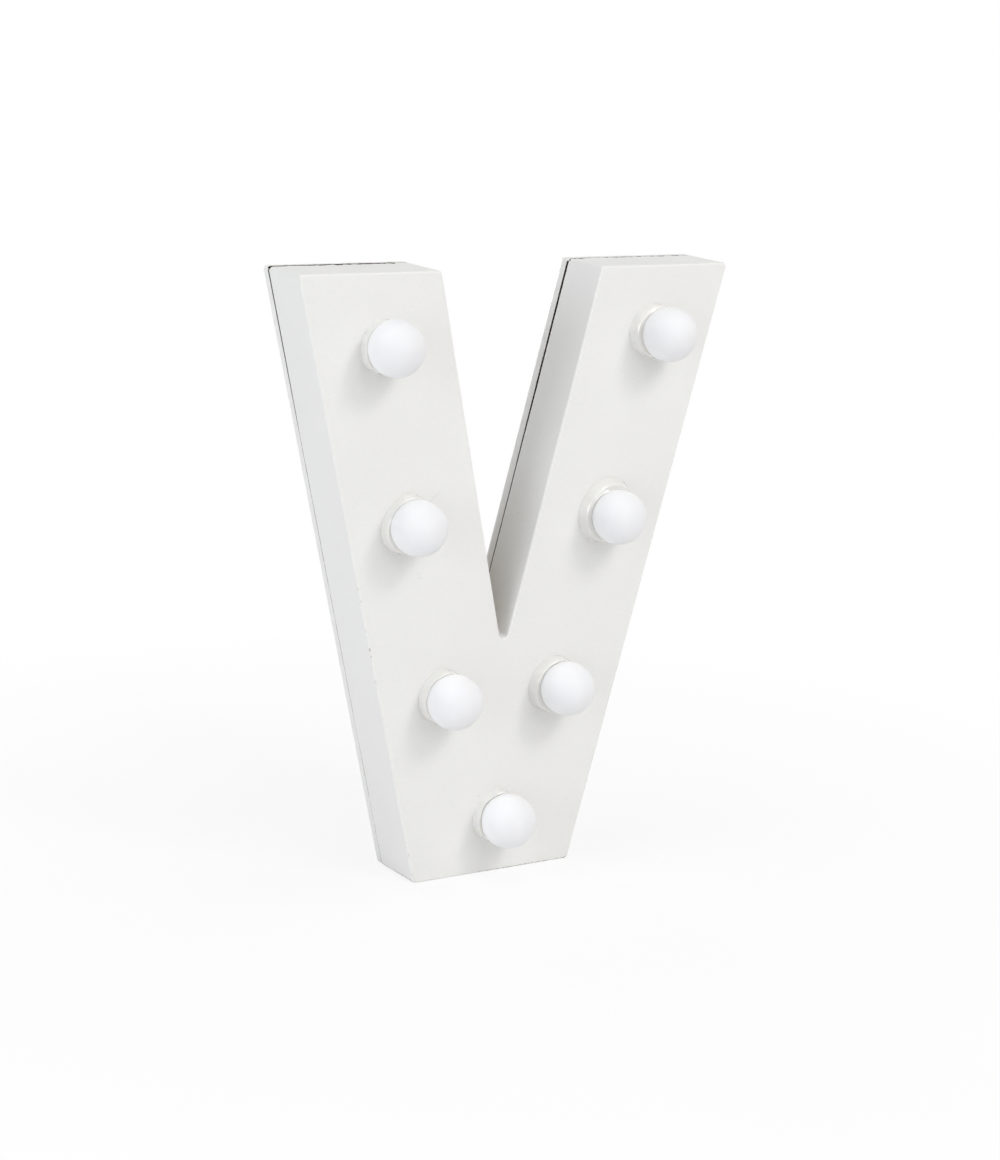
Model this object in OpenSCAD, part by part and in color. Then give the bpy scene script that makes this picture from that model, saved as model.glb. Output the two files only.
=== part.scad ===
// Light-up letter V: a hollow painted board body with seven ball lamps, closed by a back panel
// that holds a battery box with a hinged door, a slide switch and two keyholes.
// Millimetres. X to the right seen from the front, Y to the back, Z up.
// The origin is on the ground at the middle of the foot, half-way through the letter's depth.

/* [Letter] */
// Height of the letter
letter_h = 165; // [150:1:190]
// Width across the tops of both legs
letter_w = 133; // [125:1:150]
// Width of one leg along its top edge
stroke_w = 41.5; // [38:0.5:48]
// Width of the foot that the letter stands on
foot_w = 50; // [46:0.5:60]
// Height at which the inner edges of the legs would meet
notch_z = 61; // [56:0.5:70]
// Rounding of the corners at the tops of the legs
corner_r = 0.9; // [0.5:0.1:4]
// Rounding of the corners of the foot
foot_r = 1.4; // [1:0.1:5]
// Rounding at the bottom of the notch
notch_r = 1.4; // [1:0.1:3]

/* [Boards] */
// Thickness of the front wall that carries the lamps
face_t = 4; // [3:0.1:6]
// Thickness of the side walls around the pocket
wall_t = 4; // [3:0.1:6]
// Rounding of the pocket's corners
pocket_r = 3; // [1.5:0.1:5]
// Thickness of the back panel
back_t = 3; // [2.6:0.1:5]
// Width of the open seam between the body and the back panel
seam_gap = 0.6; // [0.2:0.05:1]
// Depth of the open seam, from the edge inwards
seam_depth = 1.6; // [0.8:0.1:2.5]
// Radius of the posts that the back panel is screwed to
post_r = 3.5; // [2.5:0.1:5]

/* [Lamps] */
// Height of the lamp in the foot
foot_lamp_z = 16.4; // [14:0.1:22]
// Height of the lowest lamp on each leg
low_lamp_z = 51.9; // [48:0.1:60]
// Distance of the highest lamp on each leg from the top edge
top_lamp_drop = 18.3; // [14:0.1:30]
// Distance of the lamps from the letter's outer edge, measured level
lamp_inset = 19.6; // [17:0.1:22]
// Shift of the left top lamp out of its row: level, upright
left_top_shift = [0.7, 0]; // [-3:0.1:3]
// Shift of the left middle lamp out of its row: level, upright
left_mid_shift = [-2.1, 0.5]; // [-3:0.1:3]
// Shift of the left low lamp out of its row: level, upright
left_low_shift = [-0.5, 0]; // [-3:0.1:3]
// Shift of the right low lamp out of its row: level, upright
right_low_shift = [-1.5, -0.2]; // [-3:0.1:3]
// Shift of the right middle lamp out of its row: level, upright
right_mid_shift = [0.2, -1.2]; // [-3:0.1:3]
// Shift of the right top lamp out of its row: level, upright
right_top_shift = [1.2, 0.5]; // [-3:0.1:3]
// Diameter of a globe
globe_d = 14.7; // [13:0.1:17]
// Distance of the globe's centre in front of the face
globe_rise = 6.9; // [6:0.1:9]
// Wall of the globe and of its neck
globe_wall = 0.9; // [0.6:0.1:1.5]
// Diameter of the globe's neck
neck_d = 8.8; // [8:0.1:9.6]
// Depth of the globe's neck behind the face
neck_depth = 1.7; // [1:0.1:2.2]
// Diameter of the collar on the face
collar_d = 15.4; // [14:0.1:18]
// Height of the collar in front of the face
collar_h = 3.9; // [2.5:0.1:5]
// Height of the thin lip at the foot of the collar
collar_lip = 0.6; // [0.3:0.1:1.2]
// Width of the collar's rim around the globe
collar_rim = 0.5; // [0.3:0.05:1]
// Diameter of the collar's barrel, which goes through the front wall
barrel_d = 10.9; // [10.4:0.1:12]
// Length of the barrel behind the front wall
barrel_past = 1.2; // [1.1:0.1:2]
// Height of the snap ring on the barrel
barb = 0.35; // [0.2:0.05:0.6]
// Diameter of the lamp's lens
lens_d = 5; // [4:0.1:5.5]
// Length of the lamp's lens in front of its flange
lens_l = 7.7; // [6:0.1:9]
// Width of the lamp's flange past its lens
lens_flange = 0.4; // [0.3:0.05:0.6]
// Thickness of the lamp's flange
lens_flange_t = 1; // [0.8:0.1:1.5]
// Spacing of a lamp's two leads
lead_pitch = 2.54; // [2:0.01:3]
// Thickness of a lead
lead_t = 0.5; // [0.4:0.05:0.7]
// Reach of a lead, from the lamp's axis
lead_reach = 7.2; // [6.8:0.1:9]
// Diameter of the wires
wire_d = 1.1; // [0.8:0.1:1.4]

/* [Battery box] */
// Diameter of a cell
cell_d = 10.5; // [10:0.1:11]
// Length of a cell with its button
cell_l = 44.5; // [43.5:0.1:46]
// Diameter of a cell's button
button_d = 3.8; // [3:0.1:4.5]
// Height of a cell's button
button_l = 0.8; // [0.6:0.1:1.2]
// Room between the two cells
cell_gap = 0.7; // [0.4:0.1:2]
// Room between a cell and the box's long walls
cell_side = 0.4; // [0.3:0.1:1]
// Length of a coil spring as fitted
spring_l = 4.2; // [3.6:0.1:6]
// Wire of a coil spring
spring_wire = 0.6; // [0.4:0.05:0.7]
// Radius of a spring's wide end
spring_r = 3.4; // [3:0.1:4]
// Radius of a spring's narrow end
spring_tip_r = 2.4; // [1.8:0.1:2.8]
// Thickness of the contact plates
contact_t = 0.4; // [0.3:0.05:0.6]
// Half the width of a contact plate
contact_half = 4; // [3.5:0.1:4.8]
// Wall of the box
box_wall = 1.2; // [1:0.1:1.8]
// Floor of the box
box_floor = 1; // [0.8:0.1:1.6]
// Height of the box above the ground
box_lift = 22.3; // [20:0.1:26]
// Thickness of the door
door_t = 1.2; // [1:0.1:1.6]
// Depth of the door below the panel's back
door_sink = 0.2; // [0.1:0.05:0.5]
// Radius of the door's hinge barrel
hinge_r = 0.85; // [0.75:0.05:1.1]
// Radius of the door's hinge pins
pin_r = 0.6; // [0.45:0.05:0.7]
// Length of the box's hinge ears
ear_l = 3.2; // [2.6:0.1:4]
// Width of the fixed bar above the hinge
bar_w = 1.8; // [1.4:0.1:2.5]
// Radius of the finger scoop below the door
scoop_r = 7; // [5:0.1:9]

/* [Switch] */
// Distance of the switch above the battery box
switch_above = 7; // [6:0.1:8]
// Travel of the knob
switch_travel = 3; // [2:0.1:4]
// Length of the knob's stem
stem_l = 3.4; // [2.6:0.1:4]
// Width of the knob's stem
stem_w = 3.2; // [2.4:0.1:3.6]
// Length of the switch's steel frame
frame_l = 19.5; // [18:0.1:22]
// Width of the switch's steel frame and housing
frame_w = 6; // [5.6:0.1:7]
// Thickness of the frame
frame_t = 0.5; // [0.4:0.05:0.8]
// Depth of the switch's housing
housing_h = 4.4; // [4.2:0.1:6]
// Spacing of the switch's two screws
ear_pitch = 15; // [14:0.1:18]
// Spacing of the terminals
terminal_pitch = 2.5; // [2:0.1:2.8]
// Length of the terminals behind the housing
terminal_out = 2.3; // [1.5:0.1:3]

/* [Hanging] */
// Radius of a keyhole's round entry
keyhole_r = 4; // [3.5:0.1:5]
// Width of a keyhole's slot
keyhole_slot = 4.2; // [3.5:0.1:5]
// Length of a keyhole's slot
keyhole_l = 8; // [6:0.5:12]

/* [Fasteners] */
// Radius of a panel screw's shank
screw_r = 1.2; // [1:0.05:1.5]
// Radius of a panel screw's head
screw_head_r = 2.5; // [2.1:0.1:3]
// Length of a panel screw
screw_l = 12; // [8:0.5:13]
// Radius of a small screw's shank
small_r = 1; // [0.8:0.05:1.2]
// Radius of a small screw's head
small_head_r = 1.9; // [1.6:0.1:2.2]

/* [Clearances] */
// Radial room of a close fit
fit_gap = 0.05; // [0.02:0.01:0.1]
// Room around a loose fit
loose_gap = 0.3; // [0.2:0.05:0.5]
// Room between parts that touch lightly
touch_gap = 0.1; // [0.05:0.01:0.2]

/* [Hidden] */
$fn = 64;
over = 1;
corner_steps = 6;
wire_sides = 8;
spring_sides = 6;
spring_turns = 3;
rings_per_turn = 8;
feed_steps = 12;

// Outer edge of the letter: how far it leans, and its half width at a height
lean = (letter_w - foot_w) / 2 / letter_h;
lean_angle = atan(lean);
function outer_x(z) = foot_w / 2 + lean * z;
inner_top_x = letter_w / 2 - stroke_w;

// Battery box, measured inwards from the panel's back
door_in = door_sink + door_t;
rim_d = door_in + touch_gap;
cell_axis_d = door_in + loose_gap + cell_d / 2;
floor_d = cell_axis_d + cell_d / 2 + touch_gap;
box_d = floor_d + box_floor;
panel_d = back_t + seam_gap;
box_in_l = cell_l + spring_l + 2 * contact_t + 2 * fit_gap;
box_in_w = 2 * cell_d + cell_gap + 2 * cell_side;
box_l = box_in_l + 2 * box_wall;
box_w = box_in_w + 2 * box_wall;

// Depth of the pocket: the box behind the panel, then the leads and barrels of the lamps
lead_room = 0.4;
lead_back = barrel_past + touch_gap / 2 + lead_t;
pocket_d = box_d - panel_d + lead_back + lead_room;
body_t = face_t + pocket_d;
depth = body_t + panel_d;
front_y = -depth / 2;
back_y = depth / 2;
pocket_y = front_y + face_t;
rim_y = front_y + body_t;

// Height of the box: no lower than its ends clear the leaning side walls
wall_level = wall_t / cos(lean_angle);
box_clear_z = (box_l / 2 + loose_gap + wall_level - foot_w / 2) / lean;
box_z0 = max(box_lift, box_clear_z);
box_z1 = box_z0 + box_w;
box_mid_z = (box_z0 + box_z1) / 2;
cell_pitch = cell_d + cell_gap;
upper_z = box_mid_z + cell_pitch / 2;
lower_z = box_mid_z - cell_pitch / 2;
in_half = box_in_l / 2;

// Door hinge along the box's upper edge
bar_gap = 0.35;
hinge_d = door_sink + hinge_r + fit_gap;
hinge_z = box_z1 - bar_w - bar_gap - hinge_r;
ear_drop = 1.6;
plate_drop = ear_drop + 0.5;
ear_in = hinge_d + pin_r + 0.4;
ear_x = box_l / 2 - ear_l;
tongue_x = ear_x - loose_gap;
pin_l = ear_l - box_wall;
lip_half = 8;
lip_t = 0.9;
lip_h = 1.2;
scoop_d = 1.6;

// Flange ears that hold the box to the panel
flange_x = 18;
flange_half = 3.5;
flange_w = 4;
flange_t = 1.2;
box_screw_head = 1;
box_screw_in = 2.4;

// Switch, measured inwards from the panel's back
switch_z = box_z1 + switch_above;
frame_in = panel_d + frame_t;
housing_wall = 0.7;
housing_floor = 1;
housing_in = frame_in + housing_h;
slider_l = 5.2;
slider_gap = 0.2;
slider_h = 1.7;
slider_d = frame_in + slider_gap;
slider_in = slider_d + slider_h;
wiper_t = 0.3;
wiper_foot = 0.4;
wiper_half = 2.2;
wiper_foot_l = 0.7;
wiper_w = 1.8;
pad_d = slider_in + fit_gap + wiper_t + wiper_foot + touch_gap;
pad_half = 0.8;
pad_w = 1.8;
leg_t = 0.5;
leg_w = 1.2;
knob_sink = 0.25;
groove_w = 0.5;
groove_pitch = 1;
housing_half = slider_l / 2 + switch_travel / 2 + loose_gap + housing_wall;

// The notch: its edges meet at the height that is set, or higher where the switch below needs the room
switch_top = switch_z + frame_w / 2 + loose_gap;
function notch_rise(z) = notch_r / sin(atan(inner_top_x / (letter_h - z))) - notch_r;
notch_tries = 4;
function notch_from(z, tries) = tries == 0 ? z :
    notch_from(max(notch_z, switch_top + wall_t - notch_rise(z)), tries - 1);
notch_at = notch_from(notch_z, notch_tries);

// Screws: sinking of the heads, cross recess, clearance of the sunk holes
head_sink = 0.15;
cross_w = 0.6;
cross_d = 0.9;
sunk_gap = 0.1;
screw_tip = 2;
small_in = 1.2;

// Posts and keyholes
post_in = wall_t + 0.6 * post_r;
mid_lamp_z = (low_lamp_z + letter_h - top_lamp_drop) / 2;
top_lamp_z = letter_h - top_lamp_drop;
post_heights = [post_in, (low_lamp_z + mid_lamp_z) / 2, letter_h - post_in];
post_spots = [for (side = [-1, 1], z = post_heights) [side * (outer_x(z) - post_in / cos(lean_angle)), z]];
keyhole_z = (mid_lamp_z + top_lamp_z) / 2;
keyhole_x = outer_x(keyhole_z) - lamp_inset;

// Lamps from the left top round the foot to the right top, with the way each turns its positive lead
function leg_lamp(side, z) = [side * (outer_x(z) - lamp_inset), z];
lamps = [leg_lamp(-1, top_lamp_z) + left_top_shift, leg_lamp(-1, mid_lamp_z) + left_mid_shift,
    leg_lamp(-1, low_lamp_z) + left_low_shift, [0, foot_lamp_z], leg_lamp(1, low_lamp_z) + right_low_shift,
    leg_lamp(1, mid_lamp_z) + right_mid_shift, leg_lamp(1, top_lamp_z) + right_top_shift];
left_turn = lean_angle;
foot_turn = 90;
right_turn = 180 - lean_angle;
turns = [left_turn, left_turn, left_turn, foot_turn, right_turn, right_turn, right_turn];
barrel_l = face_t + barrel_past;

// Outlines: each corner of a list of points rounded by its own radius, and a list moved inwards
function unit(v) = v / norm(v);
function arc_from(c, a, sweep) = [for (k = [0:corner_steps])
    c + [[cos(sweep * k / corner_steps), -sin(sweep * k / corner_steps)] * a,
        [sin(sweep * k / corner_steps), cos(sweep * k / corner_steps)] * a]];
function corner(p, q, r, radius) =
    let (a = unit(p - q), b = unit(r - q), half = acos(a * b) / 2)
    let (reach = radius / tan(half), c = q + unit(a + b) * radius / sin(half))
    let (s = q + a * reach - c, e = q + b * reach - c)
    arc_from(c, s, atan2(s[0] * e[1] - s[1] * e[0], s * e));
function rounded(points, radii) = let (n = len(points)) [for (i = [0:n - 1])
    each corner(points[(i + n - 1) % n], points[i], points[(i + 1) % n], radii[i])];
nearly_straight = 0.001;
function bend(p, q, r, radius) =
    norm(unit(p - q) + unit(r - q)) < nearly_straight ? [q] : corner(p, q, r, radius);
function rounded_run(points, radius) = let (n = len(points)) [points[0],
    for (i = [1:n - 2]) each bend(points[i - 1], points[i], points[i + 1], radius), points[n - 1]];
function left_of(v) = [-v[1], v[0]];
function moved_in(points, d) = let (n = len(points)) [for (i = [0:n - 1])
    let (a = left_of(unit(points[i] - points[(i + n - 1) % n])))
    let (b = left_of(unit(points[(i + 1) % n] - points[i])))
    points[i] + (a + b) * d / (1 + a * b)];
letter_corners = [[-foot_w / 2, 0], [foot_w / 2, 0], [letter_w / 2, letter_h], [inner_top_x, letter_h],
    [0, notch_at], [-inner_top_x, letter_h], [-letter_w / 2, letter_h]];
function letter_radii(foot, top, notch) = [foot, foot, top, top, notch, top, top];
least_r = 0.3;
function less(r, d) = max(r - d, least_r);
letter_line = rounded(letter_corners, letter_radii(foot_r, corner_r, notch_r));
land_line = rounded(moved_in(letter_corners, seam_depth),
    letter_radii(less(foot_r, seam_depth), less(corner_r, seam_depth), notch_r + seam_depth));
pocket_line = rounded(moved_in(letter_corners, wall_t), letter_radii(pocket_r, pocket_r, notch_r + wall_t));

// Tubes: rings along a path of points, closed at both ends
function path_way(path, i) = unit(path[min(i + 1, len(path) - 1)] - path[max(i - 1, 0)]);
function ring(c, way, side_way, r, sides) =
    let (u = unit(cross(way, side_way)), v = cross(way, u))
    [for (k = [0:sides - 1]) c + r * (cos(360 * k / sides) * u + sin(360 * k / sides) * v)];
module tube(path, r, sides, side_way) {
    n = len(path);
    points = [for (i = [0:n - 1]) each ring(path[i], path_way(path, i), side_way, r, sides)];
    starts = [for (k = [1:sides - 2]) [0, k, k + 1]];
    ends = [for (k = [1:sides - 2]) [(n - 1) * sides, (n - 1) * sides + k + 1, (n - 1) * sides + k]];
    walls = [for (i = [0:n - 2], k = [0:sides - 1])
        let (a = i * sides + k, b = i * sides + (k + 1) % sides)
        each [[a, a + sides, b], [b, a + sides, b + sides]]];
    polyhedron(points, concat(starts, ends, walls));
}
function curve(a, b, c, d, steps) = [for (k = [0:steps]) let (t = k / steps, s = 1 - t)
    s * s * s * a + 3 * s * s * t * b + 3 * s * t * t * c + t * t * t * d];

// Places: flat shapes between two depths, on a lamp's axis pointing forwards, on the back pointing inwards
module slab(y0, y1) {
    translate([0, y1, 0]) rotate([90, 0, 0]) linear_extrude(y1 - y0) children();
}
module lamp_axis(i) {
    translate([lamps[i][0], front_y, lamps[i][1]]) rotate([90, 0, 0]) children();
}
module from_back(x, z) {
    translate([x, back_y, z]) rotate([90, 0, 0]) children();
}
module block(x0, x1, d0, d1, z0, z1) {
    translate([x0, back_y - d1, z0]) cube([x1 - x0, d1 - d0, z1 - z0]);
}
module along_x(x0, x1, d, z, r) {
    translate([x0, back_y - d, z]) rotate([0, 90, 0]) cylinder(h = x1 - x0, r = r);
}

// Screws with sunk heads, pointing inwards from the back
module sunk_screw(r, head_r, length, tip) {
    head_h = head_r - r;
    difference() {
        union() {
            translate([0, 0, head_sink]) cylinder(h = head_h, r1 = head_r, r2 = r);
            translate([0, 0, head_sink]) cylinder(h = length - tip - head_sink, r = r);
            translate([0, 0, length - tip]) cylinder(h = tip, r1 = r, r2 = r / 4);
        }
        for (a = [0, 90]) rotate([0, 0, a])
            translate([-0.6 * head_r, -cross_w / 2, head_sink - over])
                cube([1.2 * head_r, cross_w, over + cross_d]);
    }
}
module sunk_hole(r, head_r, length) {
    translate([0, 0, -over]) cylinder(h = length + over, r = r + fit_gap);
    translate([0, 0, head_sink]) cylinder(h = head_r - r, r1 = head_r + sunk_gap, r2 = r + sunk_gap);
    translate([0, 0, -over]) cylinder(h = over + head_sink, r = head_r + sunk_gap);
}

// Front body: the letter's board, hollowed from behind, with posts for the panel's screws
module front_body() {
    color([0.93, 0.93, 0.92]) difference() {
        union() {
            difference() {
                slab(front_y, rim_y) polygon(letter_line);
                slab(pocket_y, rim_y + over) polygon(pocket_line);
            }
            for (p = post_spots) translate([p[0], rim_y, p[1]]) rotate([90, 0, 0])
                cylinder(h = pocket_d + face_t / 2, r = post_r);
        }
        for (p = post_spots) from_back(p[0], p[1])
            translate([0, 0, panel_d - over]) cylinder(h = screw_l - panel_d + 2 * over, r = screw_r + fit_gap);
        for (i = [0:6]) lamp_axis(i)
            translate([0, 0, -face_t - over]) cylinder(h = face_t + 2 * over, r = barrel_d / 2 + fit_gap);
    }
}

// Back panel: a board with a raised land that seats on the body and leaves the seam open
module back_panel() {
    color([0.92, 0.92, 0.91]) difference() {
        union() {
            slab(back_y - back_t, back_y) polygon(letter_line);
            slab(back_y - panel_d, back_y - back_t / 2) polygon(land_line);
        }
        block(-box_l / 2 - loose_gap, box_l / 2 + loose_gap, -over, panel_d + over,
            box_z0 - loose_gap, box_z1 + loose_gap);
        from_back(0, box_z0) translate([0, 0, -over]) cylinder(h = over + scoop_d, r = scoop_r);
        block(-(stem_l + switch_travel) / 2 - loose_gap, (stem_l + switch_travel) / 2 + loose_gap,
            -over, panel_d + over, switch_z - stem_w / 2 - loose_gap, switch_z + stem_w / 2 + loose_gap);
        for (x = [-ear_pitch / 2, ear_pitch / 2]) from_back(x, switch_z)
            sunk_hole(small_r, small_head_r, panel_d + over);
        for (p = post_spots) from_back(p[0], p[1]) sunk_hole(screw_r, screw_head_r, panel_d + over);
        for (p = box_screw_spots()) from_back(p[0], p[1])
            translate([0, 0, panel_d - box_screw_in]) cylinder(h = box_screw_in + over, r = small_r + fit_gap);
        for (side = [-1, 1]) from_back(side * keyhole_x, keyhole_z) {
            translate([0, 0, -over]) cylinder(h = panel_d + 2 * over, r = keyhole_r);
            translate([-keyhole_slot / 2, 0, -over]) cube([keyhole_slot, keyhole_l, panel_d + 2 * over]);
            translate([0, keyhole_l, -over]) cylinder(h = panel_d + 2 * over, r = keyhole_slot / 2);
        }
    }
}

// Collar: a cup on the face that holds the globe, with a barrel that snaps through the front wall
collar_r = collar_d / 2;
rim_in_r = sqrt(pow(globe_d / 2, 2) - pow(globe_rise - collar_h, 2)) + fit_gap;
rim_r = rim_in_r + collar_rim;
shoulder_steps = 6;
shoulder = [for (k = [0:shoulder_steps]) let (a = 90 * k / shoulder_steps)
    [rim_r + (collar_r - rim_r) * cos(a), collar_lip + (collar_h - collar_lip) * sin(a)]];
barb_gap = 0.05;
module collar_shape() {
    difference() {
        union() {
            rotate_extrude() polygon(concat([[0, 0], [collar_r, 0]], shoulder, [[0, collar_h]]));
            translate([0, 0, -barrel_l]) cylinder(h = barrel_l + collar_lip, r = barrel_d / 2);
            rotate_extrude() polygon([[0, -face_t - barb_gap], [barrel_d / 2 + barb, -face_t - barb_gap],
                [barrel_d / 2, -barrel_l + barb_gap], [0, -barrel_l + barb_gap]]);
        }
        translate([0, 0, globe_rise]) sphere(r = globe_d / 2 + fit_gap);
        translate([0, 0, -neck_depth - touch_gap]) cylinder(h = neck_depth + globe_rise, r = neck_d / 2 + fit_gap);
        translate([0, 0, -barrel_l - over]) cylinder(h = barrel_l + 2 * over, r = lens_d / 2 + fit_gap);
        translate([0, 0, -barrel_l - over])
            cylinder(h = over + lens_flange_t + fit_gap, r = lens_d / 2 + lens_flange + fit_gap);
    }
}
module collar_at(i) {
    color([0.9, 0.88, 0.84]) lamp_axis(i) collar_shape();
}
module collar_left_top() { collar_at(0); }
module collar_left_mid() { collar_at(1); }
module collar_left_low() { collar_at(2); }
module collar_foot() { collar_at(3); }
module collar_right_low() { collar_at(4); }
module collar_right_mid() { collar_at(5); }
module collar_right_top() { collar_at(6); }

// Globe: a hollow frosted ball with a neck that plugs into the collar
module globe_shape() {
    difference() {
        union() {
            translate([0, 0, globe_rise]) sphere(r = globe_d / 2);
            translate([0, 0, -neck_depth]) cylinder(h = neck_depth + globe_rise, r = neck_d / 2);
        }
        translate([0, 0, globe_rise]) sphere(r = globe_d / 2 - globe_wall);
        translate([0, 0, -neck_depth - over]) cylinder(h = neck_depth + globe_rise + over, r = neck_d / 2 - globe_wall);
    }
}
module globe_at(i) {
    color([0.96, 0.96, 0.97]) lamp_axis(i) globe_shape();
}
module globe_left_top() { globe_at(0); }
module globe_left_mid() { globe_at(1); }
module globe_left_low() { globe_at(2); }
module globe_foot() { globe_at(3); }
module globe_right_low() { globe_at(4); }
module globe_right_mid() { globe_at(5); }
module globe_right_top() { globe_at(6); }

// Lamp: a small round lens with a flange, pushed into the collar from behind
module led_shape() {
    translate([0, 0, -barrel_l]) cylinder(h = lens_flange_t, r = lens_d / 2 + lens_flange);
    translate([0, 0, -barrel_l]) cylinder(h = lens_flange_t + lens_l - lens_d / 2, r = lens_d / 2);
    translate([0, 0, -barrel_l + lens_flange_t + lens_l - lens_d / 2]) sphere(r = lens_d / 2);
}
module led_at(i) {
    color([0.95, 0.93, 0.8]) lamp_axis(i) led_shape();
}
module led_left_top() { led_at(0); }
module led_left_mid() { led_at(1); }
module led_left_low() { led_at(2); }
module led_foot() { led_at(3); }
module led_right_low() { led_at(4); }
module led_right_mid() { led_at(5); }
module led_right_top() { led_at(6); }

// Leads: two to a lamp, bent apart so that each reaches its wire
lead_h = -face_t - lead_back;
module led_leads() {
    color([0.8, 0.8, 0.82]) for (i = [0:6], a = [0, 180]) lamp_axis(i) rotate([0, 0, turns[i] + a])
        translate([lead_pitch / 2 - lead_t / 2, -lead_t / 2, lead_h]) {
            cube([lead_reach - lead_pitch / 2 + lead_t / 2, lead_t, lead_t]);
            cube([lead_t, lead_t, lead_back - barrel_past]);
        }
}

// Wires: two rails on the inside of the front wall past every lamp, and the battery's wires
wire_r = wire_d / 2;
rail_y = pocket_y + fit_gap + wire_r;
rail_off = lead_reach - lead_t;
rail_end = 2;
rail_bend = 3;
function beside(i, way) = lamps[i] + way * rail_off * [cos(turns[i]), sin(turns[i])];
function up_leg(side) = [side * sin(lean_angle), cos(lean_angle)];
function in_space(points) = [for (p = points) [p[0], rail_y, p[1]]];
foot_run = 4;
function rail(way) = let (across = way > 0 ? foot_run : 2 * foot_run, z = beside(3, way)[1])
    [beside(0, way) + rail_end * up_leg(-1), beside(1, way), beside(2, way), [-across, z], [across, z],
        beside(4, way), beside(5, way), beside(6, way) + rail_end * up_leg(1)];
module rail_wire(way) {
    tube(in_space(rounded_run(rail(way), rail_bend)), wire_r, wire_sides, [0, 1, 0]);
}
module wire_positive() {
    color([0.75, 0.1, 0.08]) rail_wire(1);
}
module wire_negative() {
    color([0.08, 0.08, 0.09]) rail_wire(-1);
}
plate_x = in_half - fit_gap - contact_t / 2;
tab_out = 1.6;
tab_half = 1.2;
leg_in = housing_in + terminal_out;
leg_mid_y = back_y - (housing_in + leg_in) / 2;
feed_start = [plate_x, back_y - cell_axis_d, box_z1 + tab_out + touch_gap];
feed_end = [terminal_pitch + leg_t / 2 + touch_gap, leg_mid_y, switch_z];
module wire_feed() {
    color([0.75, 0.1, 0.08]) tube(curve(feed_start, feed_start + [0, 0, switch_above],
        feed_end + [terminal_pitch + frame_w, 0, 0], feed_end, feed_steps), wire_r, wire_sides, [0.3, 1, 0.2]);
}
switched_start = [0, back_y - leg_in - touch_gap, switch_z];
switched_end = [beside(2, 1)[0] + 2 * wire_r + touch_gap, rail_y, beside(2, 1)[1]];
module wire_switched() {
    color([0.75, 0.1, 0.08]) tube(curve(switched_start, [0, rail_y + wire_r, switch_z],
        switched_end + [frame_w, 0, 0], switched_end, feed_steps), wire_r, wire_sides, [0.2, 0.3, 1]);
}
rail_a = beside(4, -1);
rail_b = [2 * foot_run, beside(3, -1)[1]];
function rail_x(z) = rail_b[0] + (rail_a[0] - rail_b[0]) * (z - rail_b[1]) / (rail_a[1] - rail_b[1]);
module wire_return() {
    color([0.08, 0.08, 0.09]) tube([[plate_x + wire_r, rail_y, lower_z], [plate_x - wire_r, rail_y, lower_z],
        [rail_x(lower_z) + 2 * wire_r + touch_gap, rail_y, lower_z]], wire_r, wire_sides, [0, 1, 0]);
}

// Battery box: a tray in the panel's cut-out, with hinge ears, a fixed bar and four screwed flanges
function box_screw_spots() = [for (x = [-flange_x, flange_x], z = [box_z0 - flange_w / 2, box_z1 + flange_w / 2]) [x, z]];
rib_half = 0.7;
rib_h = 2;
plate_in = in_half - fit_gap - contact_t;
rib_x = plate_in - loose_gap;
module battery_box() {
    color([0.16, 0.16, 0.17]) difference() {
        union() {
            difference() {
                block(-box_l / 2, box_l / 2, rim_d, box_d, box_z0, box_z1);
                block(-in_half, in_half, rim_d - over, floor_d, box_z0 + box_wall, box_z1 - box_wall);
            }
            block(-rib_x, rib_x, floor_d - rib_h, floor_d + box_floor / 2, box_mid_z - rib_half, box_mid_z + rib_half);
            for (p = box_screw_spots()) block(p[0] - flange_half, p[0] + flange_half, panel_d, panel_d + flange_t,
                p[1] - flange_w / 2 - box_wall / 2, p[1] + flange_w / 2 + box_wall / 2);
            block(-box_l / 2, box_l / 2, door_sink, rim_d + box_wall / 2, box_z1 - bar_w, box_z1);
            for (x = [-box_l / 2, box_l / 2 - ear_l])
                block(x, x + ear_l, door_sink, ear_in, hinge_z - ear_drop, box_z1);
        }
        for (p = box_screw_spots()) from_back(p[0], p[1])
            translate([0, 0, panel_d - over]) cylinder(h = flange_t + 2 * over, r = small_r + fit_gap);
        for (p = box_screw_spots()) block(p[0] - flange_half - over, p[0] + flange_half + over, panel_d - over, box_d,
            box_z0 + box_wall, box_z1 - box_wall);
        along_x(-ear_x - pin_l - fit_gap, ear_x + pin_l + fit_gap, hinge_d, hinge_z, pin_r + fit_gap);
        block(plate_x - contact_t / 2 - fit_gap, plate_x + contact_t / 2 + fit_gap, cell_axis_d - tab_half - fit_gap,
            cell_axis_d + tab_half + fit_gap, box_z1 - box_wall - over, box_z1 + over);
        block(plate_x - contact_t / 2 - fit_gap, plate_x + contact_t / 2 + fit_gap, floor_d - over, box_d + over,
            lower_z - tab_half - fit_gap, lower_z + tab_half + fit_gap);
    }
}

// Battery door: a flush plate with a hinge barrel, two pins and a push-fit lip
module battery_door() {
    color([0.2, 0.2, 0.21]) {
        block(-box_l / 2, box_l / 2, door_sink, door_in, box_z0, hinge_z - plate_drop);
        block(-tongue_x, tongue_x, door_sink, door_in, hinge_z - plate_drop - over, hinge_z);
        along_x(-tongue_x, tongue_x, hinge_d, hinge_z, hinge_r);
        along_x(-ear_x - pin_l, ear_x + pin_l, hinge_d, hinge_z, pin_r);
        block(-lip_half, lip_half, door_in - door_t / 2, door_in + lip_h,
            box_z0 + box_wall + 2 * touch_gap, box_z0 + box_wall + 2 * touch_gap + lip_t);
    }
}

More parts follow.
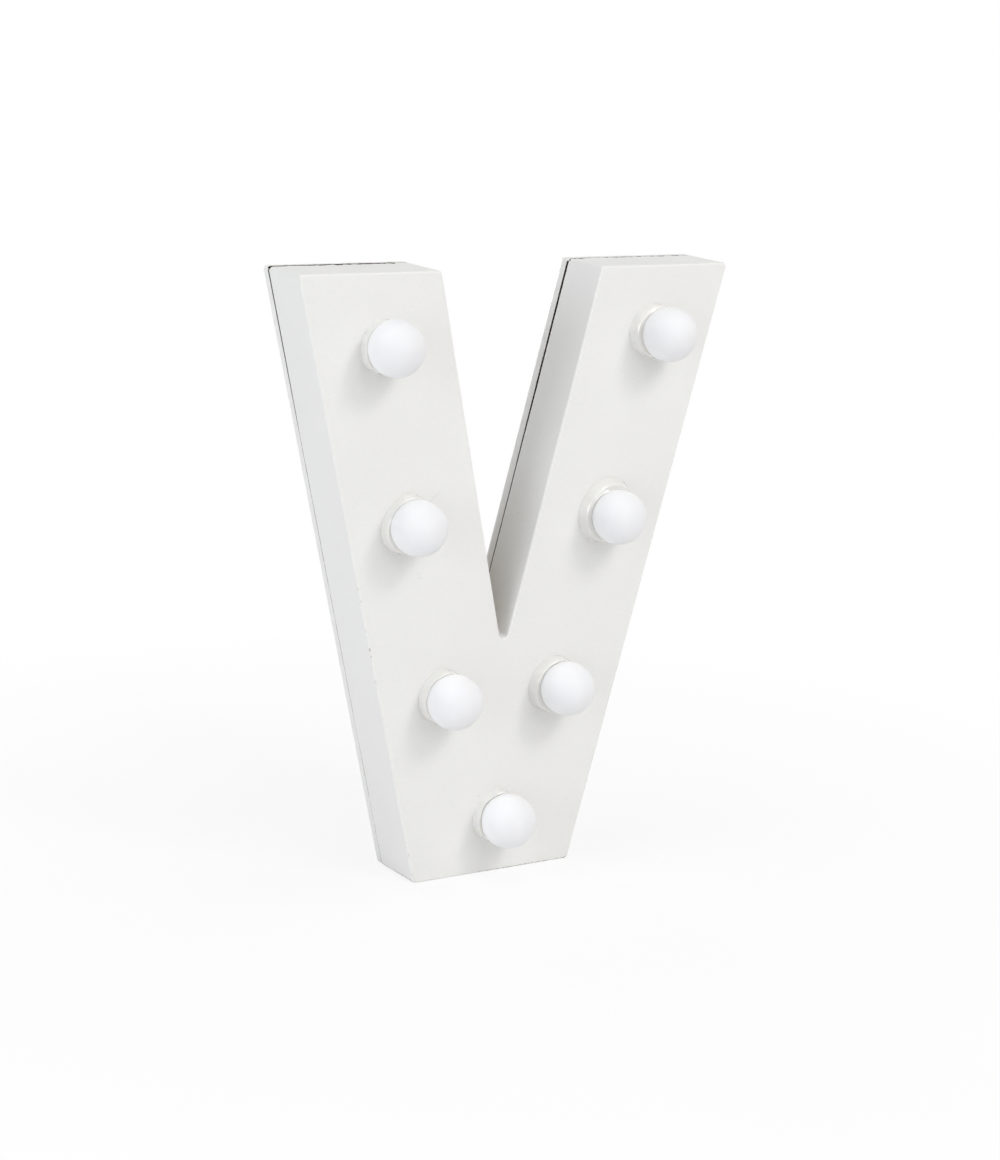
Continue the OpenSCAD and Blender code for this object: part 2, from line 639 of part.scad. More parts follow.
// Cells: the upper one points right, the lower one left
module cell_shape() {
    rotate([0, 90, 0]) {
        cylinder(h = cell_l - button_l, r = cell_d / 2);
        cylinder(h = cell_l, r = button_d / 2);
    }
}
module cell_upper() {
    color([0.75, 0.55, 0.2]) translate([plate_in - fit_gap / 2 - cell_l, back_y - cell_axis_d, upper_z]) cell_shape();
}
module cell_lower() {
    color([0.75, 0.55, 0.2]) translate([-plate_in + fit_gap / 2 + cell_l, back_y - cell_axis_d, lower_z])
        rotate([0, 0, 180]) cell_shape();
}

// Contacts: two plates with solder tabs at the right, one plate that links both cells at the left
module contact_plate(side, z0, z1) {
    block(side * plate_x - contact_t / 2, side * plate_x + contact_t / 2,
        cell_axis_d - contact_half, cell_axis_d + contact_half, z0, z1);
}
module contact_positive() {
    color([0.8, 0.78, 0.72]) {
        contact_plate(1, upper_z - contact_half, upper_z + contact_half);
        block(plate_x - contact_t / 2, plate_x + contact_t / 2, cell_axis_d - tab_half, cell_axis_d + tab_half,
            upper_z, box_z1 + tab_out);
    }
}
floor_tab = pocket_d + panel_d - box_d - 2 * wire_r - fit_gap - touch_gap;
module contact_negative() {
    color([0.8, 0.78, 0.72]) {
        contact_plate(1, lower_z - contact_half, lower_z + contact_half);
        block(plate_x - contact_t / 2, plate_x + contact_t / 2, cell_axis_d, box_d + floor_tab,
            lower_z - tab_half, lower_z + tab_half);
    }
}
module contact_link() {
    color([0.8, 0.78, 0.72]) contact_plate(-1, lower_z - contact_half, upper_z + contact_half);
}

// Coil springs: each is one unbroken tube from its contact plate to the flat end of its cell
spring_run = spring_l - spring_wire - 2 * fit_gap;
spring_last = spring_turns * rings_per_turn;
spring_path = [for (k = [0:spring_last]) let (s = k / spring_last, a = 360 * k / rings_per_turn)
    let (r = spring_r + (spring_tip_r - spring_r) * s)
    [spring_wire / 2 + fit_gap + spring_run * s, r * cos(a), r * sin(a)]];
spring_gap = min([for (i = [0:spring_last - rings_per_turn / 2], j = [i + rings_per_turn / 2:spring_last])
    norm(spring_path[i] - spring_path[j])]) - spring_wire;
echo(least_gap_of_spring_to_itself = spring_gap);
module spring_shape() {
    tube(spring_path, spring_wire / 2, spring_sides, [1, 0, 0]);
}
module spring_upper() {
    color([0.85, 0.85, 0.86]) translate([-plate_in, back_y - cell_axis_d, upper_z]) spring_shape();
}
module spring_lower() {
    color([0.85, 0.85, 0.86]) translate([plate_in, back_y - cell_axis_d, lower_z]) rotate([0, 0, 180]) spring_shape();
}

// Slide switch: a steel frame screwed behind the panel, with the housing folded into it
module switch_frame() {
    window = (stem_l + switch_travel) / 2 + loose_gap;
    color([0.75, 0.75, 0.76]) difference() {
        block(-frame_l / 2, frame_l / 2, panel_d, frame_in, switch_z - frame_w / 2, switch_z + frame_w / 2);
        block(-window, window, panel_d - over, frame_in + over,
            switch_z - stem_w / 2 - loose_gap, switch_z + stem_w / 2 + loose_gap);
        for (x = [-ear_pitch / 2, ear_pitch / 2]) from_back(x, switch_z)
            translate([0, 0, panel_d - over]) cylinder(h = frame_t + 2 * over, r = small_r + fit_gap);
    }
}
module switch_housing() {
    hollow = housing_half - housing_wall;
    color([0.12, 0.12, 0.13]) difference() {
        block(-housing_half, housing_half, frame_in, housing_in, switch_z - frame_w / 2, switch_z + frame_w / 2);
        block(-hollow, hollow, frame_in - over, housing_in - housing_floor,
            switch_z - frame_w / 2 + housing_wall, switch_z + frame_w / 2 - housing_wall);
        for (x = [-terminal_pitch, 0, terminal_pitch])
            block(x - leg_t / 2 - fit_gap, x + leg_t / 2 + fit_gap, frame_in, housing_in + over,
                switch_z - leg_w / 2 - fit_gap, switch_z + leg_w / 2 + fit_gap);
    }
}
knob_x = -switch_travel / 2;
slider_half_w = frame_w / 2 - housing_wall - slider_gap;
module switch_knob() {
    color([0.1, 0.1, 0.11]) difference() {
        union() {
            block(knob_x - stem_l / 2, knob_x + stem_l / 2, knob_sink, slider_d + slider_h / 2,
                switch_z - stem_w / 2, switch_z + stem_w / 2);
            block(knob_x - slider_l / 2, knob_x + slider_l / 2, slider_d, slider_in,
                switch_z - slider_half_w, switch_z + slider_half_w);
        }
        for (x = [-groove_pitch, 0, groove_pitch])
            block(knob_x + x - groove_w / 2, knob_x + x + groove_w / 2, knob_sink - over, knob_sink + groove_w,
                switch_z - stem_w, switch_z + stem_w);
    }
}
wiper_d = slider_in + fit_gap;
module switch_wiper() {
    color([0.8, 0.5, 0.3]) {
        block(knob_x - wiper_half, knob_x + wiper_half, wiper_d, wiper_d + wiper_t,
            switch_z - wiper_w / 2, switch_z + wiper_w / 2);
        for (x = [knob_x - wiper_half, knob_x + wiper_half - wiper_foot_l])
            block(x, x + wiper_foot_l, wiper_d + wiper_t / 2, wiper_d + wiper_t + wiper_foot,
                switch_z - wiper_w / 2, switch_z + wiper_w / 2);
    }
}
module switch_terminals() {
    color([0.82, 0.78, 0.6]) for (x = [-terminal_pitch, 0, terminal_pitch]) {
        block(x - pad_half, x + pad_half, pad_d, housing_in - housing_floor - fit_gap,
            switch_z - pad_w / 2, switch_z + pad_w / 2);
        block(x - leg_t / 2, x + leg_t / 2, pad_d, leg_in, switch_z - leg_w / 2, switch_z + leg_w / 2);
    }
}

// Screws: six through the panel into the posts, four inside on the box's flanges, two for the switch
module panel_screws() {
    color([0.72, 0.72, 0.73]) for (p = post_spots) from_back(p[0], p[1])
        sunk_screw(screw_r, screw_head_r, screw_l, screw_tip);
}
module box_screws() {
    color([0.72, 0.72, 0.73]) for (p = box_screw_spots()) from_back(p[0], p[1]) difference() {
        union() {
            translate([0, 0, panel_d + flange_t]) cylinder(h = box_screw_head, r = small_head_r);
            translate([0, 0, panel_d - box_screw_in + touch_gap])
                cylinder(h = box_screw_in + flange_t + box_screw_head / 2, r = small_r);
        }
        for (a = [0, 90]) rotate([0, 0, a])
            translate([-0.6 * small_head_r, -cross_w / 2, panel_d + flange_t + box_screw_head / 3])
                cube([1.2 * small_head_r, cross_w, over]);
    }
}
module switch_screws() {
    color([0.72, 0.72, 0.73]) for (x = [-ear_pitch / 2, ear_pitch / 2]) from_back(x, switch_z)
        sunk_screw(small_r, small_head_r, frame_in + small_in, small_in / 2);
}

front_body();
back_panel();
collar_left_top();
collar_left_mid();
collar_left_low();
collar_foot();
collar_right_low();
collar_right_mid();
collar_right_top();
globe_left_top();
globe_left_mid();
globe_left_low();
globe_foot();
globe_right_low();
globe_right_mid();
globe_right_top();
led_left_top();
led_left_mid();
led_left_low();
led_foot();
led_right_low();
led_right_mid();
led_right_top();
led_leads();
wire_positive();
wire_negative();
wire_feed();
wire_switched();
wire_return();
battery_box();
battery_door();
cell_upper();
cell_lower();
contact_positive();
contact_negative();
contact_link();
spring_upper();
spring_lower();
switch_frame();
switch_housing();
switch_knob();
switch_wiper();
switch_terminals();
panel_screws();
box_screws();
switch_screws();
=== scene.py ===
import math

import bmesh
import bpy
from mathutils import Matrix, Vector, kdtree, noise


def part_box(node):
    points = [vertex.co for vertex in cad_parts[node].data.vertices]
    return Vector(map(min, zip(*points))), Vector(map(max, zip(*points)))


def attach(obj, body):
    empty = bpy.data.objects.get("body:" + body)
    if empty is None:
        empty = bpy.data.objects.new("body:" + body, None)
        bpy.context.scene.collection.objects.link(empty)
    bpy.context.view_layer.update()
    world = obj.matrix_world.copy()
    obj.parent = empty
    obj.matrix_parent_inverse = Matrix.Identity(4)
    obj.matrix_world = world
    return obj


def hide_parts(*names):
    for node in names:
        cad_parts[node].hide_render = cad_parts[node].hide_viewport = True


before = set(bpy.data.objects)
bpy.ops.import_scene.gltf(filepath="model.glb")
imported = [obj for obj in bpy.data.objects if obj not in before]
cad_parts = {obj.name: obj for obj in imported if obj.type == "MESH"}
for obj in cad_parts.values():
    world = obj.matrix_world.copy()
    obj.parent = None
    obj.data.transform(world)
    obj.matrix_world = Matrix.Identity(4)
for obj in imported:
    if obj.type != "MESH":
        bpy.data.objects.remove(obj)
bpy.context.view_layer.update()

# Front body: the letter V cut from fibreboard and hollowed from behind, its edges eased by hand and
# rolled with satin white paint. The brown board stays bare on the rear rim and inside the pocket.
MM = 0.001
FACE_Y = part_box("front_body")[0][1]
RIM_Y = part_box("front_body")[1][1]
BACK_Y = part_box("back_panel")[1][1]
PANEL_THICK = 3 * MM
PLATE_Y = BACK_Y - PANEL_THICK
TOP_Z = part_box("front_body")[1][2]
FOOT_HALF = 25 * MM
LEAN = 0.2515  # how far a leg's outer edge leans out in each unit of height
NOTCH_TOP_X = 25 * MM
NOTCH_Z = 61 * MM


def set_inputs(tree, node, values):
    """Gives a node's inputs their values: a link to another node's result, or a plain value."""
    for key, value in values.items():
        if isinstance(value, bpy.types.NodeSocket):
            tree.links.new(value, node.inputs[key])
        else:
            node.inputs[key].default_value = value


def fit(tree, kind, inputs=None, **settings):
    """Adds one node to a tree with its settings and inputs."""
    node = tree.nodes.new(kind)
    for key, value in settings.items():
        setattr(node, key, value)
    set_inputs(tree, node, inputs or {})
    return node


def new_finish(name):
    """A new material, its tree, its shader and the place on the piece that patterns read."""
    finish = bpy.data.materials.new(name)
    finish.use_nodes = True
    tree = finish.node_tree
    spot = fit(tree, "ShaderNodeTexCoord").outputs["Object"]
    return finish, tree, tree.nodes["Principled BSDF"], spot


def grain(tree, spot, scale, detail=2.0, rough=0.5):
    """Soft random pattern; the scale counts its features to the metre."""
    inputs = {"Vector": spot, "Scale": scale, "Detail": detail, "Roughness": rough}
    return fit(tree, "ShaderNodeTexNoise", inputs).outputs["Fac"]


def ranged(tree, value, low, high, to_low=0.0, to_high=1.0):
    """Stretches a pattern between two levels to two others."""
    inputs = {"Value": value, "From Min": low, "From Max": high, "To Min": to_low, "To Max": to_high}
    return fit(tree, "ShaderNodeMapRange", inputs).outputs["Result"]


def patches(tree, spot, scale, detail, low=0.0, high=1.0, rough=0.5):
    """A soft random pattern over its whole range, stretched to two levels."""
    return ranged(tree, grain(tree, spot, scale, detail, rough), 0.3, 0.7, low, high)


def away_from(tree, spot, place):
    """How far every spot is from one place."""
    return fit(tree, "ShaderNodeVectorMath", {0: spot, 1: place}, operation="DISTANCE").outputs["Value"]


def sums(tree, how, first, second):
    """One step of arithmetic on patterns."""
    return fit(tree, "ShaderNodeMath", {0: first, 1: second}, operation=how).outputs["Value"]


def coats(tree, amount, under, over, how="MIX"):
    """One colour laid over another by an amount."""
    node = fit(tree, "ShaderNodeMix", {0: amount, 6: under, 7: over}, data_type="RGBA", blend_type=how)
    return node.outputs[2]


def colour(r, g, b):
    """A colour as the shader wants it."""
    return (r, g, b, 1.0)


def relief(tree, shader, height, distance, strength=1.0):
    """Fine bumps in the surface."""
    inputs = {"Height": height, "Distance": distance, "Strength": strength}
    tree.links.new(fit(tree, "ShaderNodeBump", inputs).outputs["Normal"], shader.inputs["Normal"])


def kept_value(tree, name):
    """A value kept on the mesh, point by point."""
    return fit(tree, "ShaderNodeAttribute", attribute_name=name).outputs["Fac"]


def merged_copy(node):
    """The node's own shape, with its loose triangles joined into flat faces."""
    shape = bmesh.new()
    shape.from_mesh(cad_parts[node].data)
    bmesh.ops.remove_doubles(shape, verts=shape.verts, dist=0.003 * MM)
    bmesh.ops.dissolve_limit(shape, angle_limit=math.radians(1), verts=shape.verts, edges=shape.edges)
    return shape


def outline_run(shape, y):
    """The longest closed run of sharp edges at a depth: the letter's outline there."""
    for edge in shape.edges:
        level = all(abs(vert.co.y - y) < 0.002 * MM for vert in edge.verts)
        edge.tag = level and edge.calc_face_angle(0) > math.radians(60)
    runs = []
    for first in shape.edges:
        if not first.tag:
            continue
        first.tag = False
        run = [first]
        for edge in run:
            for vert in edge.verts:
                for other in vert.link_edges:
                    if other.tag:
                        other.tag = False
                        run.append(other)
        runs.append(run)
    return max(runs, key=lambda run: sum(edge.calc_length() for edge in run))


def split_outline(shape, y, step):
    """Splits the outline's long edges, so that they can be uneven along their length."""
    for edge in outline_run(shape, y):
        last, end = edge.verts
        start_at, end_at = last.co.copy(), end.co.copy()
        parts = max(1, round(edge.calc_length() / step))
        for part in range(1, parts):
            vert = bmesh.utils.edge_split(shape.edges.get((last, end)), last, 0.5)[1]
            vert.co = start_at.lerp(end_at, part / parts)
            last = vert


def outline_map(run):
    """The outline's short pieces and a tree that finds the nearest ones."""
    pieces = [(e.verts[0].co.x, e.verts[0].co.z, e.verts[1].co.x, e.verts[1].co.z) for e in run]
    tree = kdtree.KDTree(len(pieces))
    for index, (ax, az, bx, bz) in enumerate(pieces):
        tree.insert(((ax + bx) / 2, 0, (az + bz) / 2), index)
    tree.balance()
    return pieces, tree


def nearest_on(line, x, z):
    """The point of the outline nearest to a place, and its distance."""
    pieces, tree = line
    best = None
    for found in tree.find_n((x, 0, z), 5):
        ax, az, bx, bz = pieces[found[1]]
        run_x, run_z = bx - ax, bz - az
        along = ((x - ax) * run_x + (z - az) * run_z) / (run_x * run_x + run_z * run_z)
        along = min(max(along, 0.0), 1.0)
        qx, qz = ax + along * run_x, az + along * run_z
        away = math.hypot(x - qx, z - qz)
        if best is None or away < best[2]:
            best = (qx, qz, away)
    return best


def round_step(size, step, steps):
    """Inset and drop of one step of a plain quarter round."""
    turn = math.pi / 2 * step / steps
    return size * (1 - math.sin(turn)), size * (1 - math.cos(turn))


def ease_outline(shape, y, inward, size, steps, profile):
    """Rounds the outline's edge at a depth; profile gives each step's inset and drop at a place."""
    run = outline_run(shape, y)
    line = outline_map(run)
    made = bmesh.ops.bevel(
        shape, geom=run, offset=size, offset_type="OFFSET", segments=steps, profile=0.5,
        affect="EDGES", clamp_overlap=False, loop_slide=False)
    places = [round_step(size, step, steps) for step in range(steps + 1)]
    for vert in made["verts"]:
        qx, qz, away = nearest_on(line, vert.co.x, vert.co.z)
        drop = (vert.co.y - y) * inward
        near = [math.hypot(away - inset, drop - fall) for inset, fall in places]
        step = near.index(min(near))
        new_inset, new_drop = profile(qx, qz, step)
        if away > 0.001 * MM:
            vert.co.x = qx + (vert.co.x - qx) * new_inset / away
            vert.co.z = qz + (vert.co.z - qz) * new_inset / away
        vert.co.y = y + inward * new_drop
    return line


def rippled(x, y, z, pitch):
    """A smooth random value between -1 and 1 that changes over about the pitch."""
    return noise.noise(Vector((x, y, z)) / pitch)


def between(places, at):
    """Straight steps through a list of places and values."""
    for (a, low), (b, high) in zip(places, places[1:]):
        if at <= b:
            return low + (high - low) * (at - a) / (b - a)
    return places[-1][1]


# The open seam in mm. By height: its width up the left edge and up the right leg's inner edge, and how far
# back it lies on that inner edge. By x: how far back it lies on the right leg's top.
LEFT_SEAM = [(0, 0.09), (40, 0.09), (70, 0.13), (115, 0.16), (130, 0.3), (145, 0.46), (166, 0.55)]
INNER_SEAM = [(58, 0.12), (72, 0.16), (80, 0.3), (100, 0.34), (115, 0.51), (130, 0.73), (145, 0.77),
              (166, 0.9)]
INNER_BACK = [(58, -0.4), (100, -0.35), (115, -0.15), (145, 0.0), (166, 0.15)]
RIGHT_TOP_BACK = [(25, -0.9), (32, 0.1), (70, 0.1)]
LEFT_CORNER_X = -62
LEFT_SEAM_END_X = -29


def seam_at(x, z):
    """The seam at a place on the outline, in mm: its width, how far back it lies, how far it is rubbed."""
    x, z = x / MM, z / MM
    top_z, notch_z = TOP_Z / MM, NOTCH_Z / MM
    edge_x = FOOT_HALF / MM + LEAN * z
    inner_x = NOTCH_TOP_X / MM * (z - notch_z) / (top_z - notch_z)
    fine = rippled(x, 3.0, z, 1.7)
    wide = rippled(x, 9.0, z, 9.0)
    if z > top_z - 0.6:
        blotch = rippled(x, 6.0, z, 0.8)
        if x > 0:
            return 0.22 + 0.3 * blotch, between(RIGHT_TOP_BACK, x), max(0.15 + 0.9 * blotch, 0.0)
        if x < LEFT_CORNER_X:
            return 1.0, 0.35, 0.1
        if x > LEFT_SEAM_END_X:
            return 0.1, 0.1, 0.0
        return 0.75 + 0.3 * fine + 0.35 * blotch, 0.5, max(0.3 + 0.7 * blotch, 0.0)
    if x < 0 and abs(x + edge_x) < 1.0:
        return between(LEFT_SEAM, z) + 0.06 * fine + 0.05 * wide, 0.2, 0.0
    if x > 0 and z > notch_z and abs(x - inner_x) < 1.0:
        return between(INNER_SEAM, z) + 0.06 * fine, between(INNER_BACK, z), 0.0
    return 0.28 + 0.1 * fine + 0.1 * wide, 0.1, 0.0


FRONT_EASE = 0.55 * MM
FRONT_STEPS = 3
REAR_EASE = 0.28 * MM
RIM_BAND = 0.8 * MM
RIM_STEPS = 4


def front_edge(x, z, step):
    """The front edge's hand-eased round, a little uneven."""
    size = FRONT_EASE * (1 + 0.06 * rippled(x, 0, z, 3 * MM) + 0.1 * rippled(x, 5, z, 15 * MM))
    return round_step(size, step, FRONT_STEPS)


def rear_edge(x, z, step):
    """The rear edge, which stands towards the panel by what the seam lacks there."""
    opening, back, rubbed = seam_at(x, z)
    lift = PLATE_Y - RIM_Y + (back - min(max(opening, 0.03), 1.4)) * MM
    sag = 0.25 * MM * min(rubbed, 1.0)
    round_at = [(RIM_BAND, 0), (0.34 * MM + sag, -lift), (0.12 * MM + sag, 0.04 * MM - lift),
                (0.02 * MM + sag, 0.13 * MM - lift), (0, REAR_EASE + rubbed * MM - lift)]
    return round_at[step]


def worn_share(x, z):
    """How much of the paint is rubbed off the front edge at a place."""
    edge_x = FOOT_HALF + LEAN * z
    if z < 2 * MM:
        return 0.76 if x > -4 * MM else 0.42
    if x < 0 and abs(x + edge_x) < 1.5 * MM:
        return 0.44 if z < 85 * MM else 0.22
    if x > 0 and abs(x - edge_x) < 1.5 * MM:
        return 0.42
    return 0.22


NOTCH_SHADE_AT = (0, 4 * MM, 58 * MM)
RING_AT = (-27.4 * MM, FACE_Y, 85.3 * MM)
RING_R = 0.68 * MM
RING_HALF_WIDTH = 0.16 * MM
RING_GAP_AT = (-26.7 * MM, FACE_Y, 85.5 * MM)


def satin_paint():
    """White satin paint: faint clouds, fine speckle, dust caught in it, painted shade that deepens into the
    notch and towards the back of its walls, one faint small ring on the left leg, and brown board at rubbed
    edges."""
    finish, tree, shader, spot = new_finish("white_paint")
    cloud = patches(tree, spot, 20, 3)
    base = coats(tree, cloud, colour(0.832, 0.827, 0.812), colour(0.852, 0.848, 0.835))
    speck = ranged(tree, grain(tree, spot, 2600, 2), 0.3, 0.75, 0.97, 1.012)
    base = coats(tree, 1.0, base, speck, "MULTIPLY")
    dust = fit(tree, "ShaderNodeTexVoronoi", {"Vector": spot, "Scale": 210, "Randomness": 1.0})
    near = ranged(tree, dust.outputs["Distance"], 0.02, 0.045, 1.0, 0.0)
    some = fit(tree, "ShaderNodeSeparateColor", {"Color": dust.outputs["Color"]}).outputs["Red"]
    few = sums(tree, "GREATER_THAN", some, 0.8)
    caught = sums(tree, "MULTIPLY", sums(tree, "MULTIPLY", near, few), 0.55)
    base = coats(tree, caught, base, colour(0.36, 0.32, 0.27))
    # Painted shade: the paint darkens towards the notch and towards the back of the notch's walls, where the
    # letter shades itself.
    place = fit(tree, "ShaderNodeSeparateXYZ", {"Vector": spot}).outputs
    depth = ranged(tree, place["Y"], FACE_Y + 0.3 * MM, 4 * MM)
    before_back = ranged(tree, place["Y"], 8.3 * MM, 9.2 * MM, 1.0, 0.0)
    in_notch = ranged(tree, sums(tree, "ABSOLUTE", place["X"], 0.0), 15 * MM, 19 * MM, 1.0, 0.0)
    inside = sums(tree, "MULTIPLY", sums(tree, "MULTIPLY", depth, before_back), in_notch)
    notch_shade = ranged(tree, away_from(tree, spot, NOTCH_SHADE_AT), 6 * MM, 56 * MM, 0.82, 0.0)
    base = coats(tree, sums(tree, "MULTIPLY", notch_shade, inside), base, colour(0.45, 0.42, 0.36))
    on_ring = fit(tree, "ShaderNodeMath", {0: away_from(tree, spot, RING_AT), 1: RING_R, 2: RING_HALF_WIDTH},
                  operation="COMPARE").outputs["Value"]
    broken = ranged(tree, away_from(tree, spot, RING_GAP_AT), 0.3 * MM, 0.8 * MM, 0, 0.13)
    base = coats(tree, sums(tree, "MULTIPLY", on_ring, broken), base, colour(0.4, 0.4, 0.4))
    worn = kept_value(tree, "worn")
    rub = sums(tree, "ADD", worn, ranged(tree, grain(tree, spot, 900, 4, 0.65), 0.25, 0.75))
    bare = ranged(tree, rub, 1.12, 1.4, 0.0, 0.85)
    under = coats(tree, ranged(tree, worn, 0.5, 0.9), colour(0.3, 0.22, 0.15), colour(0.045, 0.028, 0.018))
    set_inputs(tree, shader, {
        "Base Color": coats(tree, bare, base, under),
        "Roughness": patches(tree, spot, 60, 3, 0.42, 0.55),
        "Specular IOR Level": 0.35})
    broad = sums(tree, "MULTIPLY", grain(tree, spot, 150, 2), 2.0)
    peel = sums(tree, "ADD", grain(tree, spot, 900, 2), broad)
    relief(tree, shader, peel, 0.02 * MM, 0.5)
    return finish


def raw_board_and_seam_shade():
    """Bare brown fibreboard with short flecks of paler fibre, painted far darker than bare board to carry the
    seam's shade.
    """
    finish, tree, shader, spot = new_finish("raw_board_and_seam_shade")
    fleck = patches(tree, spot, 1500, 5, rough=0.7)
    patch = ranged(tree, grain(tree, spot, 180, 2), 0.35, 0.65)
    # Painted shade: these browns are much darker than bare board, standing in for the shade deep in the seam.
    base = coats(tree, fleck, colour(0.014, 0.006, 0.003), colour(0.058, 0.029, 0.015))
    base = coats(tree, sums(tree, "MULTIPLY", patch, 0.4), base, colour(0.024, 0.012, 0.0065))
    spray = ranged(tree, grain(tree, spot, 900, 3, 0.6), 0.57, 0.68, 0.0, 0.5)
    set_inputs(tree, shader, {
        "Base Color": coats(tree, spray, base, colour(0.34, 0.25, 0.18)),
        "Roughness": 0.9,
        "Specular IOR Level": 0.15})
    relief(tree, shader, fleck, 0.06 * MM, 0.6)
    return finish


def placed(name, data):
    """Puts a new piece, lamp or camera in the scene."""
    piece = bpy.data.objects.new(name, data)
    bpy.context.scene.collection.objects.link(piece)
    return piece


def smooth_piece(shape, name, finishes, sharp_from):
    """Makes a shape a piece in its finishes, smooth but for edges sharper than an angle."""
    mesh = bpy.data.meshes.new(name)
    shape.to_mesh(mesh)
    shape.free()
    for finish in finishes:
        mesh.materials.append(finish)
    mesh.shade_smooth()
    mesh.set_sharp_from_angle(angle=math.radians(sharp_from))
    return placed(name, mesh)


def keep_flat(piece):
    """Keeps broad faces flat beside their rounded edges."""
    weights = piece.modifiers.new("flat_faces", "WEIGHTED_NORMAL")
    weights.keep_sharp = True


def finished_board(shape, name):
    """Makes a board's piece: smooth round edges, flat faces, white paint, and bare board darkened as painted
    seam shade.
    """
    bmesh.ops.recalc_face_normals(shape, faces=shape.faces)
    piece = smooth_piece(shape, name, [white_paint, bare_board_and_seam_shade], 42)
    keep_flat(piece)
    return piece


white_paint = satin_paint()
bare_board_and_seam_shade = raw_board_and_seam_shade()
body = merged_copy("front_body")
split_outline(body, FACE_Y, 1.2 * MM)
split_outline(body, RIM_Y, 0.8 * MM)
outline = ease_outline(body, FACE_Y, 1, FRONT_EASE, FRONT_STEPS, front_edge)
ease_outline(body, RIM_Y, -1, RIM_BAND, RIM_STEPS, rear_edge)
worn = body.verts.layers.float.new("worn")
for vert in body.verts:
    if 0.02 * MM < vert.co.y - FACE_Y < 0.5 * MM:
        vert[worn] = worn_share(vert.co.x, vert.co.z)
for face in body.faces:
    middle = face.calc_center_median()
    at_front = middle.y < FACE_Y + 0.6 * MM
    at_side = abs(face.normal.y) < 0.97 and nearest_on(outline, middle.x, middle.z)[2] < 0.3 * MM
    below = face.normal.z < -0.6
    face.material_index = 0 if at_front or (at_side and not below) else 1
front_piece = finished_board(body, "letter_body")
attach(front_piece, "letter")
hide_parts("front_body")

# Back panel: a 3 mm board on the same outline, with a land routed round its rim that seats on the body
# and leaves the seam open. Painted white behind and on its edges; its cut-outs show bare board.
PANEL_EASE = 0.8 * MM


def panel_front_edge(x, z, step):
    """The panel's edge towards the seam, planed back a little."""
    back = seam_at(x, z)[1] * MM + 0.05 * MM * rippled(x, 2, z, 2.5 * MM)
    round_at = [(RIM_BAND, 0), (0.3 * MM, back), (0.1 * MM, back + 0.03 * MM), (0.02 * MM, back + 0.1 * MM),
                (0, back + 0.22 * MM)]
    return round_at[step]


def panel_back_edge(x, z, step):
    """The panel's rear edge."""
    size = PANEL_EASE * (1 + 0.1 * rippled(x, 4, z, 4 * MM))
    return round_step(size, step, RIM_STEPS)


panel = merged_copy("back_panel")
split_outline(panel, PLATE_Y, 0.8 * MM)
split_outline(panel, BACK_Y, 1.2 * MM)
ease_outline(panel, PLATE_Y, 1, RIM_BAND, RIM_STEPS, panel_front_edge)
ease_outline(panel, BACK_Y, -1, PANEL_EASE, RIM_STEPS, panel_back_edge)
worn = panel.verts.layers.float.new("worn")
for vert in panel.verts:
    if nearest_on(outline, vert.co.x, vert.co.z)[2] < 0.4 * MM:
        if vert.co.z > TOP_Z - 0.4 * MM:
            in_gap = (LEFT_CORNER_X + 1) * MM < vert.co.x < LEFT_SEAM_END_X * MM
            bare = 0.75 if in_gap else 0.4
            vert[worn] = bare if vert.co.y < PLATE_Y + 1.2 * MM else 0.1
        elif 0.02 * MM < BACK_Y - vert.co.y < 0.42 * MM:
            vert[worn] = 0.4
for face in panel.faces:
    middle = face.calc_center_median()
    behind = face.normal.y > 0.5
    at_side = nearest_on(outline, middle.x, middle.z)[2] < 0.22 * MM
    in_seam = face.normal.y < (-0.3 if middle.z > TOP_Z - 0.6 * MM else -0.9)
    face.material_index = 0 if behind or (at_side and not in_seam) else 1
panel_piece = finished_board(panel, "back_board")
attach(panel_piece, "letter")
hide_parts("back_panel")

# Collars: seven cups of glossy cream plastic, each pushed through a hole in the face and held by its barrel.
# Round each globe the cream spreads in a soft uneven bead, like set glue, and one thin string of it has
# dried beside the middle left lamp.
SPOTS = ["left_top", "left_mid", "left_low", "foot", "right_low", "right_mid", "right_top"]
GLOBE_R = 7.35
GLOBE_RISE = 6.9
CUP_R = GLOBE_R + 0.05


def new_tree(name, inputs, result):
    """A node tree with named inputs and one result; gives the tree and the inputs to link from."""
    tree = bpy.data.node_groups.new(name, "GeometryNodeTree")
    for key, kind in inputs.items():
        tree.interface.new_socket(key, in_out="INPUT", socket_type="NodeSocket" + kind)
    tree.interface.new_socket(result, in_out="OUTPUT", socket_type="NodeSocketGeometry")
    return tree, fit(tree, "NodeGroupInput").outputs


def named_value(tree, name, kind="FLOAT"):
    """A value that a mesh keeps under a name."""
    return fit(tree, "GeometryNodeInputNamedAttribute", {"Name": name}, data_type=kind).outputs["Attribute"]


def at_point(tree, line, value, index, kind="FLOAT"):
    """A value at one numbered point of a line."""
    inputs = {"Geometry": line, "Value": value, "Index": index}
    return fit(tree, "GeometryNodeSampleIndex", inputs, data_type=kind, domain="POINT").outputs["Value"]


def creased(tree, shape, angle):
    """Leaves the edges sharp that bend by more than an angle."""
    bend = fit(tree, "GeometryNodeInputMeshEdgeAngle").outputs["Unsigned Angle"]
    sharp = fit(tree, "FunctionNodeCompare", {0: bend, 1: angle}, data_type="FLOAT", operation="GREATER_THAN")
    inputs = {"Geometry": shape, "Selection": sharp.outputs["Result"], "Shade Smooth": False}
    return fit(tree, "GeometryNodeSetShadeSmooth", inputs, domain="EDGE").outputs["Geometry"]


